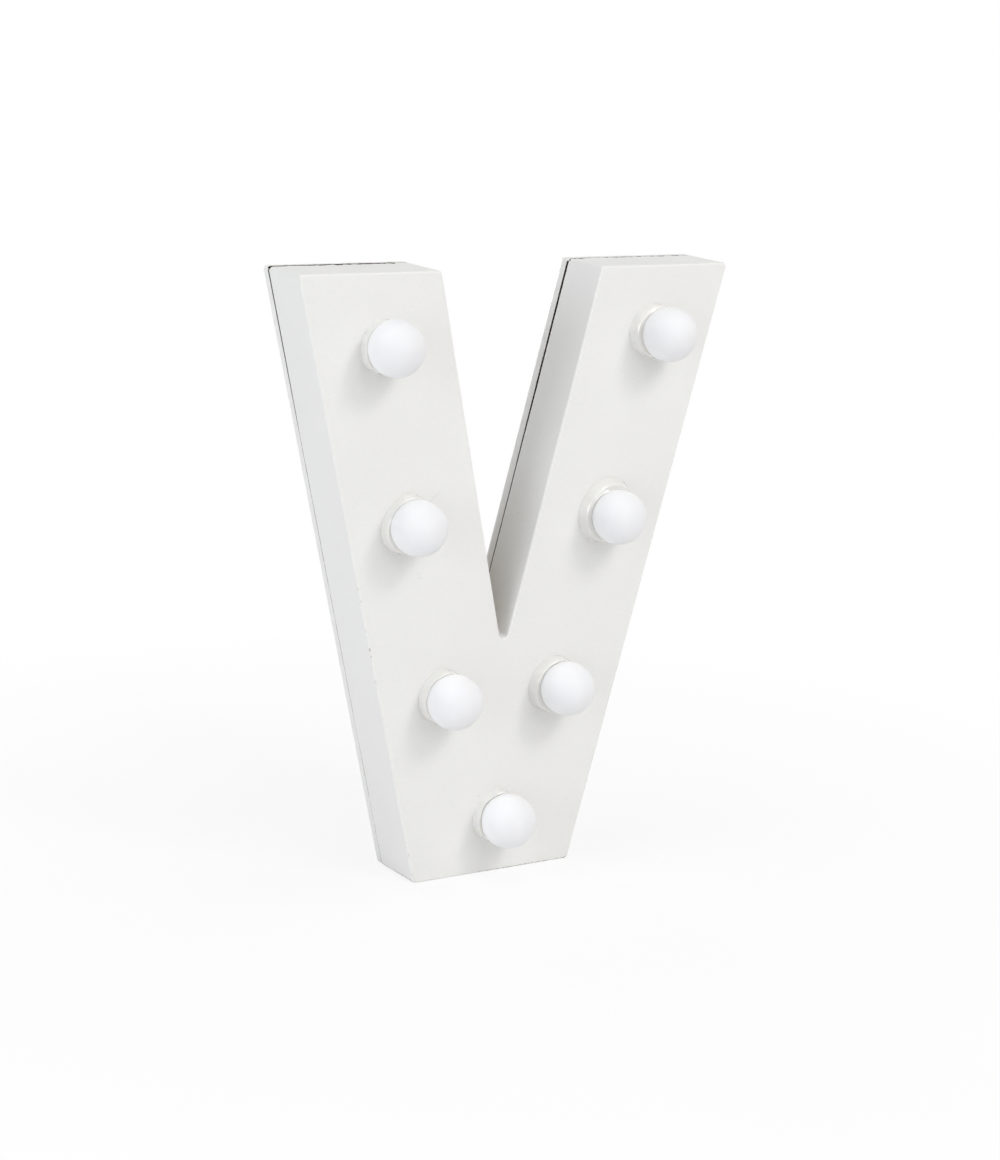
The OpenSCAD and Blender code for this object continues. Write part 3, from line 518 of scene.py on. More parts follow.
def turned_tree():
    """Node tree that turns a profile about an upright axis: each of its points becomes a ring."""
    inputs = {"Profile": "Object", "Steps": "Int", "Sharp Angle": "Float"}
    tree, given = new_tree("turned_piece", inputs, "Mesh")
    line = fit(tree, "GeometryNodeObjectInfo", {"Object": given["Profile"]}).outputs["Geometry"]
    count = fit(tree, "GeometryNodeAttributeDomainSize", {"Geometry": line}).outputs["Point Count"]
    around = sums(tree, "ADD", given["Steps"], 1.0)
    sheet = fit(tree, "GeometryNodeMeshGrid", {"Vertices X": count, "Vertices Y": around}).outputs["Mesh"]
    index = fit(tree, "GeometryNodeInputIndex").outputs["Index"]
    ring = sums(tree, "FLOOR", sums(tree, "DIVIDE", sums(tree, "ADD", index, 0.5), around), 0.0)
    step = sums(tree, "SUBTRACT", index, sums(tree, "MULTIPLY", ring, around))
    turn = sums(tree, "MULTIPLY", sums(tree, "DIVIDE", step, given["Steps"]), 2 * math.pi)
    spot = fit(tree, "GeometryNodeInputPosition").outputs["Position"]
    on_line = at_point(tree, line, spot, ring, "FLOAT_VECTOR")
    parts = fit(tree, "ShaderNodeSeparateXYZ", {"Vector": on_line}).outputs
    x = sums(tree, "MULTIPLY", parts["X"], sums(tree, "COSINE", turn, 0.0))
    y = sums(tree, "MULTIPLY", parts["X"], sums(tree, "SINE", turn, 0.0))
    ringed = fit(tree, "ShaderNodeCombineXYZ", {"X": x, "Y": y, "Z": parts["Z"]}).outputs["Vector"]
    for name in ("tint", "along"):
        value = at_point(tree, line, named_value(tree, name), ring)
        stored = {"Geometry": sheet, "Name": name, "Value": value}
        sheet = fit(tree, "GeometryNodeStoreNamedAttribute", stored,
                    data_type="FLOAT", domain="POINT").outputs["Geometry"]
    shaped = fit(tree, "GeometryNodeSetPosition", {"Geometry": sheet, "Position": ringed}).outputs["Geometry"]
    closed = fit(tree, "GeometryNodeMergeByDistance", {"Geometry": shaped, "Distance": 0.002 * MM})
    inputs = {"Geometry": closed.outputs["Geometry"], "Shade Smooth": True}
    smooth = fit(tree, "GeometryNodeSetShadeSmooth", inputs, domain="FACE").outputs["Geometry"]
    fit(tree, "NodeGroupOutput", {"Mesh": creased(tree, smooth, given["Sharp Angle"])})
    return tree


turned = turned_tree()


def random_turn(tree, given, low, high):
    """A random turn for each place, by the tree's seed."""
    inputs = {0: low, 1: high, "Seed": given["Seed"]}
    return fit(tree, "FunctionNodeRandomValue", inputs, data_type="FLOAT_VECTOR").outputs["Value"]


def set_out(tree, given, part, turn):
    """Ends a tree: the part on every place, turned from its facing, all one mesh in its finish."""
    facing = named_value(tree, "facing", "FLOAT_VECTOR")
    way = fit(tree, "ShaderNodeVectorMath", {0: facing, 1: turn}, operation="ADD").outputs["Vector"]
    points = fit(tree, "GeometryNodeMeshToPoints", {"Mesh": given["Places"]}).outputs["Points"]
    row = fit(tree, "GeometryNodeInstanceOnPoints", {"Points": points, "Instance": part, "Rotation": way})
    real = fit(tree, "GeometryNodeRealizeInstances", {"Geometry": row.outputs["Instances"]})
    inputs = {"Geometry": real.outputs["Geometry"], "Material": given["Finish"]}
    done = fit(tree, "GeometryNodeSetMaterial", inputs)
    fit(tree, "NodeGroupOutput", {"Geometry": done.outputs["Geometry"]})


def row_tree():
    """Node tree that sets one turned piece on every place, each leaning a little its own way."""
    tree, given = new_tree("row_of_turned_pieces", {
        "Places": "Geometry", "Profile": "Object", "Steps": "Int", "Sharp Angle": "Float", "Lean": "Float",
        "Seed": "Int", "Finish": "Material"}, "Geometry")
    inputs = {name: given[name] for name in ("Profile", "Steps", "Sharp Angle")}
    part = fit(tree, "GeometryNodeGroup", inputs, node_tree=turned)
    stray = random_turn(tree, given, (-1, 0, -1), (1, 0, 1))
    lean = fit(tree, "ShaderNodeVectorMath", {0: stray, "Scale": given["Lean"]}, operation="SCALE")
    set_out(tree, given, part.outputs["Mesh"], lean.outputs["Vector"])
    return tree


turned_row = row_tree()


def profile_line(name, points):
    """The profile as a mesh line: radius and height in mm, the tint, and the share along a bead."""
    mesh = bpy.data.meshes.new(name)
    steps = [(i, i + 1) for i in range(len(points) - 1)]
    mesh.from_pydata([(p[0] * MM, 0, p[1] * MM) for p in points], steps, [])
    tint = mesh.attributes.new("tint", "FLOAT", "POINT")
    tint.data.foreach_set("value", [p[2] if len(p) > 2 else 0.0 for p in points])
    along = mesh.attributes.new("along", "FLOAT", "POINT")
    along.data.foreach_set("value", [p[3] if len(p) > 3 else -1.0 for p in points])
    return placed(name, mesh)


def made_by(tree, name, places, inputs):
    """Runs a node tree on places (point and facing) and keeps the result as a plain mesh."""
    mesh = bpy.data.meshes.new(name + "_places")
    mesh.from_pydata([point for point, facing in places], [], [])
    facing = mesh.attributes.new("facing", "FLOAT_VECTOR", "POINT")
    facing.data.foreach_set("vector", [number for place in places for number in place[1]])
    holder = placed(name + "_places", mesh)
    maker = holder.modifiers.new("maker", "NODES")
    maker.node_group = tree
    for item in tree.interface.items_tree:
        if item.in_out == "INPUT" and item.name in inputs:
            maker[item.identifier] = inputs[item.name]
    graph = bpy.context.evaluated_depsgraph_get()
    made = bpy.data.meshes.new_from_object(
        holder.evaluated_get(graph), preserve_all_data_layers=True, depsgraph=graph)
    made.name = name
    bpy.data.objects.remove(holder)
    bpy.data.objects.remove(inputs["Profile"])
    return placed(name, made)


def lamp_axis(node):
    """Where a lamp's axis meets the face."""
    low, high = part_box(node)
    return Vector(((low[0] + high[0]) / 2, FACE_Y, (low[2] + high[2]) / 2))


BEAD_STEPS = 28
BEAD_START_R = 6.5
PLAIN_REACH = 7.7
SEAT_FROM = 36.97
SEAT_TO = 54.0


def bead_point(reach, share):
    """Radius and height on a bead of glue: reach is its foot's radius, share runs from globe to foot."""
    start_r = min(BEAD_START_R, reach - 0.4)
    start_h = GLOBE_RISE - math.sqrt(CUP_R ** 2 - start_r * start_r)
    flat = min(max((reach - 7.4) / 2.4, 0.0), 1.0)
    outer = max(share - 0.5, 0.0) / 0.5
    h = start_h * (1 - 0.17 * share) * max(1 - outer ** 2, 0.0) ** (1.0 + 0.6 * flat)
    h -= 0.13 * math.exp(-((share - 0.13) / 0.05) ** 2) + 0.07 * math.exp(-((share - 0.3) / 0.05) ** 2)
    return start_r + (reach - start_r) * share, h - 0.02 * share


def cup_profile():
    """The collar's profile, from its bore up through the cup's seat, over the bead to the barrel."""
    points = [(2.95, -5.2), (2.95, -4.15), (2.55, -4.15), (2.55, -1.8), (4.45, -1.8, 1.0)]
    for step in range(7):
        turn = math.radians(SEAT_FROM + (SEAT_TO - SEAT_FROM) * step / 6)
        points.append((CUP_R * math.sin(turn), GLOBE_RISE - CUP_R * math.cos(turn), 1.0))
    for step in range(BEAD_STEPS + 1):
        share = step / BEAD_STEPS
        # The tint darkens the bead next to the globe and along its first groove.
        crevice_darkening = 0.5 * math.exp(-share / 0.08) + 0.2 * math.exp(-((share - 0.13) / 0.05) ** 2)
        points.append((*bead_point(PLAIN_REACH, share), crevice_darkening, share))
    points += [(7.5, -0.05), (5.45, -0.05), (5.45, -4.0), (5.78, -4.06), (5.45, -5.12), (5.3, -5.2)]
    points.append((2.95, -5.2))
    return points


def cream_gloss():
    """Glossy cream plastic, darker and browner in the crevice where the globe meets it and along the groove
    beside it.
    """
    finish, tree, shader, spot = new_finish("cream_plastic")
    cloud = patches(tree, spot, 300, 2)
    base = coats(tree, cloud, colour(0.745, 0.735, 0.71), colour(0.785, 0.777, 0.756))
    crevice_darkening = sums(tree, "MULTIPLY", kept_value(tree, "tint"), patches(tree, spot, 900, 3, 0.7, 1.0))
    set_inputs(tree, shader, {
        "Base Color": coats(tree, crevice_darkening, base, colour(0.7, 0.65, 0.57)),
        "Roughness": patches(tree, spot, 500, 3, 0.12, 0.2),
        "Subsurface Weight": 0.4,
        "Subsurface Radius": (1.0, 0.9, 0.75),
        "Subsurface Scale": 0.4 * MM,
        "Coat Weight": 1.0,
        "Coat Roughness": 0.12,
        "Coat IOR": 1.8})
    relief(tree, shader, grain(tree, spot, 350, 2), 0.03 * MM, 0.4)
    return finish


FORWARD = (math.pi / 2, 0.0, 0.0)
collars = made_by(turned_row, "collars", [(lamp_axis("collar_" + s), FORWARD) for s in SPOTS], {
    "Profile": profile_line("collar_profile", cup_profile()), "Steps": 120, "Sharp Angle": math.radians(60),
    "Lean": 0.0, "Seed": 4, "Finish": cream_gloss()})

# The foot of each bead, in mm from the lamp's axis at every 30 degrees round from the right, upwards.
BEAD_REACH = {
    "left_top": (7.0, 6.7, 6.4, 6.6, 6.3, 6.2, 6.5, 7.1, 7.5, 7.6, 7.4, 7.2),
    "left_mid": (7.2, 7.4, 7.8, 8.0, 7.0, 6.85, 7.4, 8.0, 8.4, 8.4, 7.9, 7.4),
    "left_low": (7.0, 7.0, 7.2, 7.5, 6.95, 6.85, 7.2, 7.4, 7.7, 7.7, 7.4, 7.1),
    "foot": (6.8, 6.6, 6.8, 7.2, 6.2, 6.3, 7.1, 7.5, 7.7, 7.6, 7.3, 7.0),
    "right_low": (7.1, 7.0, 7.3, 7.5, 7.3, 7.6, 8.2, 8.6, 8.5, 8.0, 7.5, 7.2),
    "right_mid": (8.4, 9.2, 9.9, 9.4, 8.85, 8.6, 8.8, 8.8, 8.7, 8.3, 8.0, 8.0),
    "right_top": (7.2, 7.1, 7.2, 7.4, 7.7, 8.2, 8.4, 8.0, 7.6, 7.4, 7.3, 7.2)}


def round_value(values, turn):
    """A smooth closed curve through values that stand evenly round a circle."""
    at = turn / (2 * math.pi) * len(values)
    first = math.floor(at)
    t = at - first
    a, b, c, d = (values[(first + k) % len(values)] for k in (-1, 0, 1, 2))
    return b + 0.5 * t * (c - a + t * (2 * a - 5 * b + 4 * c - d + t * (3 * (b - c) + d - a)))


along = collars.data.attributes["along"].data
axes = [(lamp_axis("collar_" + s), s) for s in SPOTS]
for vert in collars.data.vertices:
    share = along[vert.index].value
    if share < -0.5:
        continue
    axis, spot_name = min(axes, key=lambda a: math.hypot(vert.co.x - a[0].x, vert.co.z - a[0].z))
    turn = math.atan2(vert.co.z - axis.z, vert.co.x - axis.x)
    reach = round_value(BEAD_REACH[spot_name], turn)
    reach += 0.12 * rippled(2.2 * math.cos(turn), 2.2 * math.sin(turn), axis.x / MM, 1.0)
    r, h = bead_point(reach, max(share, 0.0))
    swell = 1 + 0.1 * rippled(1.5 * math.cos(turn), 1.5 * math.sin(turn), axis.z / MM + share, 1.0) * share
    vert.co = (axis.x + r * MM * math.cos(turn), FACE_Y - h * swell * MM, axis.z + r * MM * math.sin(turn))
string = bmesh.new()
string.from_mesh(collars.data)
STRING_AT = [(-27.18, -11.0, 104.29, 0.22), (-25.81, -10.0, 104.78, 0.2), (-24.6, -9.82, 105.65, 0.18),
             (-23.53, -9.78, 106.46, 0.15), (-22.73, -9.75, 107.5, 0.08)]
STRING_SIDES = 6
turns = [math.pi / 3 * k for k in range(STRING_SIDES)]
sides = [(0.73 * math.cos(t), math.sin(t), 0.69 * math.cos(t)) for t in turns]
rings = []
for x, y, z, r in STRING_AT:
    ring = [((x - r * c) * MM, (y + r * s) * MM, (z + r * d) * MM) for c, s, d in sides]
    rings.append([string.verts.new(place) for place in ring])
for ring, following in zip(rings, rings[1:]):
    for k in range(STRING_SIDES):
        string.faces.new((ring[k], ring[k - 1], following[k - 1], following[k])).smooth = True
string.faces.new(rings[0])
string.faces.new(rings[-1][::-1])
bmesh.ops.recalc_face_normals(string, faces=string.faces)
string.to_mesh(collars.data)
string.free()
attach(collars, "letter")
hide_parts(*["collar_" + spot_name for spot_name in SPOTS])

# Globes: seven hollow balls of frosted bluish-white plastic with a short neck, blow-moulded thin and
# pushed into the collars. Light soaks into them, so they shade softly and have no bright highlight.
GLOBE_WALL = 0.9
NECK_R = 4.4
NECK_END = -1.7


def ball_profile():
    """The globe's profile, from the inner pole down the neck and up round the ball to the outer pole."""
    inner_r = GLOBE_R - GLOBE_WALL
    inner_neck = NECK_R - GLOBE_WALL
    points = []
    last = math.asin(inner_neck / inner_r)
    for step in range(19):
        turn = math.pi + (last - math.pi) * step / 18
        points.append((inner_r * math.sin(turn), GLOBE_RISE - inner_r * math.cos(turn), 0.0))
    points[0] = (0.0, GLOBE_RISE + inner_r, 0.0)
    points += [(inner_neck, NECK_END + 0.15, 0), (inner_neck + 0.15, NECK_END, 0)]
    points += [(NECK_R - 0.15, NECK_END, 0), (NECK_R, NECK_END + 0.15, 0)]
    first = math.asin(NECK_R / GLOBE_R)
    for step in range(33):
        turn = first + (math.pi - first) * step / 32
        points.append((GLOBE_R * math.sin(turn), GLOBE_RISE - GLOBE_R * math.cos(turn), 0.0))
    points[-1] = (0.0, GLOBE_RISE + GLOBE_R, 0.0)
    return points


def frosted_white():
    """Frosted plastic that light soaks into, with faint scuffs."""
    finish, tree, shader, spot = new_finish("frosted_plastic")
    cloud = patches(tree, spot, 160, 2)
    base = coats(tree, cloud, colour(0.856, 0.854, 0.872), colour(0.876, 0.874, 0.892))
    scuff = ranged(tree, grain(tree, spot, 1400, 4, 0.7), 0.62, 0.8, 0.0, 0.1)
    set_inputs(tree, shader, {
        "Base Color": coats(tree, scuff, base, colour(0.7, 0.69, 0.68)),
        "Roughness": patches(tree, spot, 700, 3, 0.4, 0.5),
        "Subsurface Weight": 0.8,
        "Subsurface Radius": (1.0, 0.95, 0.9),
        "Subsurface Scale": 1.1 * MM,
        "Specular IOR Level": 0.15})
    relief(tree, shader, grain(tree, spot, 2200, 2), 0.01 * MM, 0.4)
    return finish


globes = made_by(turned_row, "globes", [(lamp_axis("globe_" + s), FORWARD) for s in SPOTS], {
    "Profile": profile_line("globe_profile", ball_profile()), "Steps": 72, "Sharp Angle": math.radians(40),
    "Lean": 0.006, "Seed": 7, "Finish": frosted_white()})
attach(globes, "letter")
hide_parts(*["globe_" + spot_name for spot_name in SPOTS])

# Lamps and their leads: small clear lenses pushed into the collars from behind, each with two tinned
# leads bent apart inside the pocket. They keep the shape that the source gives them.


def cast_lens():
    """Clear cast resin with a faint yellow body."""
    finish, tree, shader, spot = new_finish("clear_lens")
    cloud = patches(tree, spot, 600, 2)
    set_inputs(tree, shader, {
        "Base Color": coats(tree, cloud, colour(0.86, 0.83, 0.66), colour(0.92, 0.9, 0.78)),
        "Roughness": 0.12,
        "Transmission Weight": 0.55})
    relief(tree, shader, grain(tree, spot, 400, 2), 0.01 * MM, 0.3)
    return finish


def worked_metal(name, dark, light, rough, stretch=(1, 1, 1)):
    """Plated or bare metal: fine drawn or rolled marks, patches of duller surface."""
    finish, tree, shader, spot = new_finish(name)
    drawn = fit(tree, "ShaderNodeMapping", {"Vector": spot, "Scale": stretch}).outputs["Vector"]
    marks = patches(tree, drawn, 900, 4, rough=0.6)
    set_inputs(tree, shader, {
        "Base Color": coats(tree, marks, colour(*dark), colour(*light)),
        "Roughness": ranged(tree, grain(tree, spot, 220, 3), 0.35, 0.65, rough - 0.07, rough + 0.1),
        "Metallic": 1.0})
    relief(tree, shader, marks, 0.01 * MM, 0.35)
    return finish


def dress(node, finish):
    """Gives a node of the source its finish."""
    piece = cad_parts[node]
    piece.data.materials.clear()
    piece.data.materials.append(finish)
    return piece


lens_resin = cast_lens()
for spot_name in SPOTS:
    dress("led_" + spot_name, lens_resin)
dress("led_leads", worked_metal("tinned_lead", (0.6, 0.6, 0.61), (0.75, 0.75, 0.77), 0.3))

# Wires: thin stranded copper in red and black sleeving, laid along the inside of the front wall past
# every lamp, and from the battery's contacts to the switch. Glued down in the real letter.


def wire_sleeve(name, dark, light):
    """Soft plastic sleeving with a dull drag along it."""
    finish, tree, shader, spot = new_finish(name)
    drag = patches(tree, spot, 700, 3)
    set_inputs(tree, shader, {
        "Base Color": coats(tree, drag, colour(*dark), colour(*light)),
        "Roughness": ranged(tree, drag, 0.0, 1.0, 0.38, 0.5)})
    relief(tree, shader, drag, 0.02 * MM, 0.3)
    return finish


def round_off(piece):
    """Smooths a many-sided tube of the source by modifiers alone."""
    weld = piece.modifiers.new("joined", "WELD")
    weld.merge_threshold = 0.003 * MM
    smooth = piece.modifiers.new("rounded", "SUBSURF")
    smooth.levels = 2
    smooth.render_levels = 2


red_sleeve = wire_sleeve("red_wire", (0.42, 0.02, 0.015), (0.58, 0.035, 0.025))
black_sleeve = wire_sleeve("black_wire", (0.014, 0.014, 0.015), (0.03, 0.03, 0.032))
for node in ("wire_positive", "wire_feed", "wire_switched"):
    round_off(dress(node, red_sleeve))
for node in ("wire_negative", "wire_return"):
    round_off(dress(node, black_sleeve))

# Battery box: a moulded black tray dropped into the panel's cut-out and screwed from inside by four
# flanges, with hinge ears and a fixed bar above the door. The mould leaves a fine spark-eroded grain.


def moulded(name, dark, light, rough):
    """Moulded plastic with a fine even grain, a little shiny where it is handled."""
    finish, tree, shader, spot = new_finish(name)
    spark = patches(tree, spot, 3200, 3, rough=0.6)
    cloud = ranged(tree, grain(tree, spot, 90, 2), 0.35, 0.65)
    base = coats(tree, cloud, colour(*dark), colour(*light))
    grained = ranged(tree, spark, 0.0, 1.0, 0.85, 1.1)
    set_inputs(tree, shader, {
        "Base Color": coats(tree, 1.0, base, grained, "MULTIPLY"),
        "Roughness": ranged(tree, cloud, 0.0, 1.0, rough - 0.06, rough + 0.06),
        "Specular IOR Level": 0.45})
    relief(tree, shader, spark, 0.03 * MM, 0.5)
    return finish


def eased_piece(node, name, width, finish, body_name):
    """A piece on the node's shape with its moulded or sheared edges eased."""
    piece = smooth_piece(merged_copy(node), name, [finish], 35)
    ease = piece.modifiers.new("eased", "BEVEL")
    ease.width = width
    ease.segments = 2
    ease.limit_method = "ANGLE"
    ease.angle_limit = math.radians(50)
    ease.harden_normals = False
    keep_flat(piece)
    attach(piece, body_name)
    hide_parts(node)


black_moulding = moulded("black_plastic", (0.022, 0.022, 0.024), (0.034, 0.034, 0.036), 0.48)
eased_piece("battery_box", "battery_tray", 0.15 * MM, black_moulding, "letter")

# Contacts and springs: nickel-plated strip pressed to shape and slid into slots at the tray's ends, and
# two coil springs of plated wire that push on the cells' flat ends.
nickel = worked_metal("plated_steel", (0.58, 0.57, 0.54), (0.72, 0.71, 0.68), 0.28, (1, 1, 0.15))
for node in ("contact_positive", "contact_negative", "contact_link"):
    eased_piece(node, node + "_strip", 0.06 * MM, nickel, "letter")
for node in ("spring_upper", "spring_lower"):
    round_off(dress(node, nickel))

# Cells: two round cells in a plain printed sleeve shrunk over a steel can. The can's ends and the
# pressed button stay bare, with a pale sealing washer round the button.


def cell_profile():
    """The cell's profile, from the flat end's middle to the button's middle, along its axis."""
    return [
        (0, 0.12, 1), (3.2, 0.12, 1), (3.5, 0.0, 1), (4.7, 0.0, 1), (4.95, 0.06, 1), (5.05, 0.2, 0.3),
        (5.2, 0.4, 0), (5.25, 0.7, 0), (5.25, 2.0, 0), (5.25, 22.0, 0), (5.25, 40.5, 0), (5.25, 42.6, 0),
        (5.2, 43.1, 0), (5.0, 43.45, 0), (4.8, 43.6, 0.1), (4.6, 43.68, 0.5), (4.4, 43.6, 0.6),
        (2.1, 43.6, 0.6), (1.95, 43.65, 1), (1.9, 43.8, 1), (1.88, 44.35, 1), (1.75, 44.48, 1),
        (1.6, 44.5, 1), (0, 44.5, 1)]


def cell_wrap():
    """Printed sleeve in one plain colour, with bare steel where the tint says so."""
    finish, tree, shader, spot = new_finish("cell_sleeve")
    bare = ranged(tree, kept_value(tree, "tint"), 0.45, 0.75)
    cloud = ranged(tree, grain(tree, spot, 120, 3), 0.35, 0.65)
    sleeve = coats(tree, cloud, colour(0.46, 0.29, 0.07), colour(0.54, 0.35, 0.09))
    steel = coats(tree, cloud, colour(0.55, 0.55, 0.55), colour(0.68, 0.68, 0.68))
    set_inputs(tree, shader, {
        "Base Color": coats(tree, bare, sleeve, steel),
        "Metallic": ranged(tree, bare, 0.0, 1.0, 0.35, 1.0),
        "Roughness": patches(tree, spot, 500, 3, 0.22, 0.36)})
    relief(tree, shader, grain(tree, spot, 500, 2), 0.01 * MM, 0.3)
    return finish


cell_places = []
for node, way in (("cell_upper", 1), ("cell_lower", -1)):
    low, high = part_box(node)
    start = low[0] if way > 0 else high[0]
    place = Vector((start, (low[1] + high[1]) / 2, (low[2] + high[2]) / 2))
    cell_places.append((place, (0.0, way * math.pi / 2, 0.0)))
cells = made_by(turned_row, "cells", cell_places, {
    "Profile": profile_line("cell_profile", cell_profile()), "Steps": 48, "Sharp Angle": math.radians(50),
    "Lean": 0.0, "Seed": 1, "Finish": cell_wrap()})
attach(cells, "letter")
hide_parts("cell_upper", "cell_lower")

# Battery door: a moulded black plate that turns on two pins in the tray's ears and snaps shut by a lip.
# It lies just below the panel's back, and its grip ribs stay below it too.
door_finish = moulded("door_plastic", (0.024, 0.024, 0.026), (0.037, 0.037, 0.039), 0.46)
eased_piece("battery_door", "door_plate", 0.15 * MM, door_finish, "door")
DOOR_SINK = 0.2
RIB_HALF = 8.0
RIB_R = 0.45
RIB_PROUD = 0.15
RIB_COUNT = 5
RIB_FIRST = 4.0
RIB_PITCH = 1.5
rib_line = [(0, -RIB_HALF), (0.25, -RIB_HALF + 0.08), (0.4, -RIB_HALF + 0.25), (RIB_R, -RIB_HALF + 0.5)]
rib_line += [(RIB_R, 0)] + [(r, -h) for r, h in reversed(rib_line)]
low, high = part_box("battery_door")
rib_y = BACK_Y - (DOOR_SINK + RIB_R - RIB_PROUD) * MM
rib_places = []
for row in range(RIB_COUNT):
    rib_z = low[2] + (RIB_FIRST + RIB_PITCH * row) * MM
    rib_places.append((Vector((0, rib_y, rib_z)), (0.0, math.pi / 2, 0.0)))
ribs = made_by(turned_row, "door_grip", rib_places, {
    "Profile": profile_line("rib_profile", rib_line), "Steps": 24, "Sharp Angle": math.radians(60),
    "Lean": 0.0, "Seed": 2, "Finish": door_finish})
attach(ribs, "door")

# Switch: a small slide switch with a nickel-plated steel frame, a moulded housing with three brass
# terminals, and a ribbed knob with a brass wiper behind it. Two screws hold it behind the panel.
eased_piece("switch_frame", "switch_plate", 0.06 * MM, nickel, "letter")
eased_piece("switch_housing", "switch_case", 0.1 * MM, black_moulding, "letter")
knob_finish = moulded("knob_plastic", (0.016, 0.016, 0.017), (0.026, 0.026, 0.028), 0.42)
eased_piece("switch_knob", "switch_slider", 0.1 * MM, knob_finish, "switch")
brass = worked_metal("brass_contact", (0.5, 0.35, 0.12), (0.66, 0.48, 0.19), 0.3)
dress("switch_wiper", brass)
dress("switch_terminals", brass)

# Screws: zinc-plated steel with sunk cross heads, six through the panel into the body's posts, two for
# the switch, and four round heads inside on the tray's flanges.
CUT_SHARP = math.radians(35)


def screw_tree():
    """Node tree for sunk screws: a turned body with a cross cut in its head, each turned its own way."""
    tree, given = new_tree("sunk_screws", {
        "Places": "Geometry", "Profile": "Object", "Cross Length": "Float", "Cross Width": "Float",
        "Cross Depth": "Float", "Seed": "Int", "Finish": "Material"}, "Geometry")
    inputs = {"Profile": given["Profile"], "Steps": 32, "Sharp Angle": CUT_SHARP}
    part = fit(tree, "GeometryNodeGroup", inputs, node_tree=turned)
    deep = sums(tree, "MULTIPLY", given["Cross Depth"], 2.0)
    inputs = {"X": given["Cross Length"], "Y": given["Cross Width"], "Z": deep}
    size = fit(tree, "ShaderNodeCombineXYZ", inputs).outputs["Vector"]
    bar = fit(tree, "GeometryNodeMeshCube", {"Size": size}).outputs["Mesh"]
    other = fit(tree, "GeometryNodeTransform", {"Geometry": bar, "Rotation": (0, 0, math.pi / 2)})
    cut = fit(tree, "GeometryNodeMeshBoolean", {"Mesh 1": part.outputs["Mesh"]}, operation="DIFFERENCE")
    tree.links.new(bar, cut.inputs["Mesh 2"])
    tree.links.new(other.outputs["Geometry"], cut.inputs["Mesh 2"])
    crossed = creased(tree, cut.outputs["Mesh"], CUT_SHARP)
    set_out(tree, given, crossed, random_turn(tree, given, (0, 0, 0), (0, math.pi, 0)))
    return tree


sunk_screws = screw_tree()
HEAD_SINK = 0.15


def screw_profile(head_r, shank_r, length, tip, pitch):
    """The screw's profile from its point up the threads to the head's middle, depths inwards."""
    points = [(0, length), (shank_r * 0.25, length)]
    thread_end = head_r - shank_r + HEAD_SINK + 0.4
    at = length - tip
    points.append((shank_r * 0.8, at + 0.3))
    while at - pitch > thread_end:
        points += [(shank_r, at), (shank_r * 0.78, at - pitch * 0.4), (shank_r * 0.78, at - pitch * 0.6)]
        at -= pitch
    points += [(shank_r, thread_end), (shank_r, thread_end - 0.4), (head_r - 0.06, HEAD_SINK + 0.1)]
    points += [(head_r, HEAD_SINK + 0.04), (head_r - 0.08, HEAD_SINK), (head_r * 0.4, HEAD_SINK - 0.02)]
    points.append((0, HEAD_SINK - 0.02))
    return points


zinc = worked_metal("screw_steel", (0.5, 0.5, 0.5), (0.66, 0.655, 0.64), 0.34)
LEG_SLOPE = math.cos(math.atan(LEAN))
POST_IN = 6.1
POST_HEIGHTS = (6.1, 75.575, 158.9)
SWITCH_HEAD_R = 1.9
panel_places = []
for side in (-1, 1):
    for z in POST_HEIGHTS:
        x = side * (FOOT_HALF / MM + LEAN * z - POST_IN / LEG_SLOPE)
        panel_places.append((Vector((x * MM, BACK_Y, z * MM)), FORWARD))
low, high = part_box("switch_screws")
switch_places = []
for x in (low[0] + SWITCH_HEAD_R * MM, high[0] - SWITCH_HEAD_R * MM):
    switch_places.append((Vector((x, BACK_Y, (low[2] + high[2]) / 2)), FORWARD))
for node, places, sizes, seed in (
        ("panel_screws", panel_places, (2.5, 1.2, 12.0, 2.0, 0.9), 3),
        ("switch_screws", switch_places, (SWITCH_HEAD_R, 1.0, 5.3, 0.6, 0.6), 8)):
    screws = made_by(sunk_screws, node + "_turned", places, {
        "Profile": profile_line(node + "_profile", screw_profile(*sizes)),
        "Cross Length": 1.2 * sizes[0] * MM, "Cross Width": 0.6 * MM, "Cross Depth": 0.9 * MM,
        "Seed": seed, "Finish": zinc})
    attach(screws, "letter")
    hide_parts(node)
dress("box_screws", zinc)

# Studio: a pale matt floor that melts into a white surround and keeps a faint shadow. Five round soft lamps
# stand in front, on the right, on the left, above and behind, and the sky is pale in front and dim behind.


def white_rays(tree):
    """One for what the camera sees directly, in gloss or through clear pieces."""
    path = fit(tree, "ShaderNodeLightPath")
    seen = sums(tree, "MAXIMUM", path.outputs["Is Camera Ray"], path.outputs["Is Glossy Ray"])
    return sums(tree, "MAXIMUM", seen, path.outputs["Is Transmission Ray"])


def pale_floor():
    """Matt pale floor that shows nearly white."""
    finish, tree, shader, spot = new_finish("studio_floor")
    tone = patches(tree, spot, 3, 2)
    set_inputs(tree, shader, {
        "Base Color": coats(tree, tone, colour(0.88, 0.88, 0.88), colour(0.9, 0.9, 0.9)),
        "Roughness": 0.9,
        "Specular IOR Level": 0.0})
    glow = fit(tree, "ShaderNodeEmission", {"Color": colour(1, 1, 1), "Strength": 1.0})
    away = fit(tree, "ShaderNodeVectorMath", {0: spot}, operation="LENGTH").outputs["Value"]
    share = sums(tree, "MULTIPLY", white_rays(tree), ranged(tree, away, 0.08, 0.26, 0.84, 1.0))
    inputs = {0: share, 1: shader.outputs["BSDF"], 2: glow.outputs["Emission"]}
    both = fit(tree, "ShaderNodeMixShader", inputs).outputs["Shader"]
    set_inputs(tree, tree.nodes["Material Output"], {"Surface": both})
    return finish


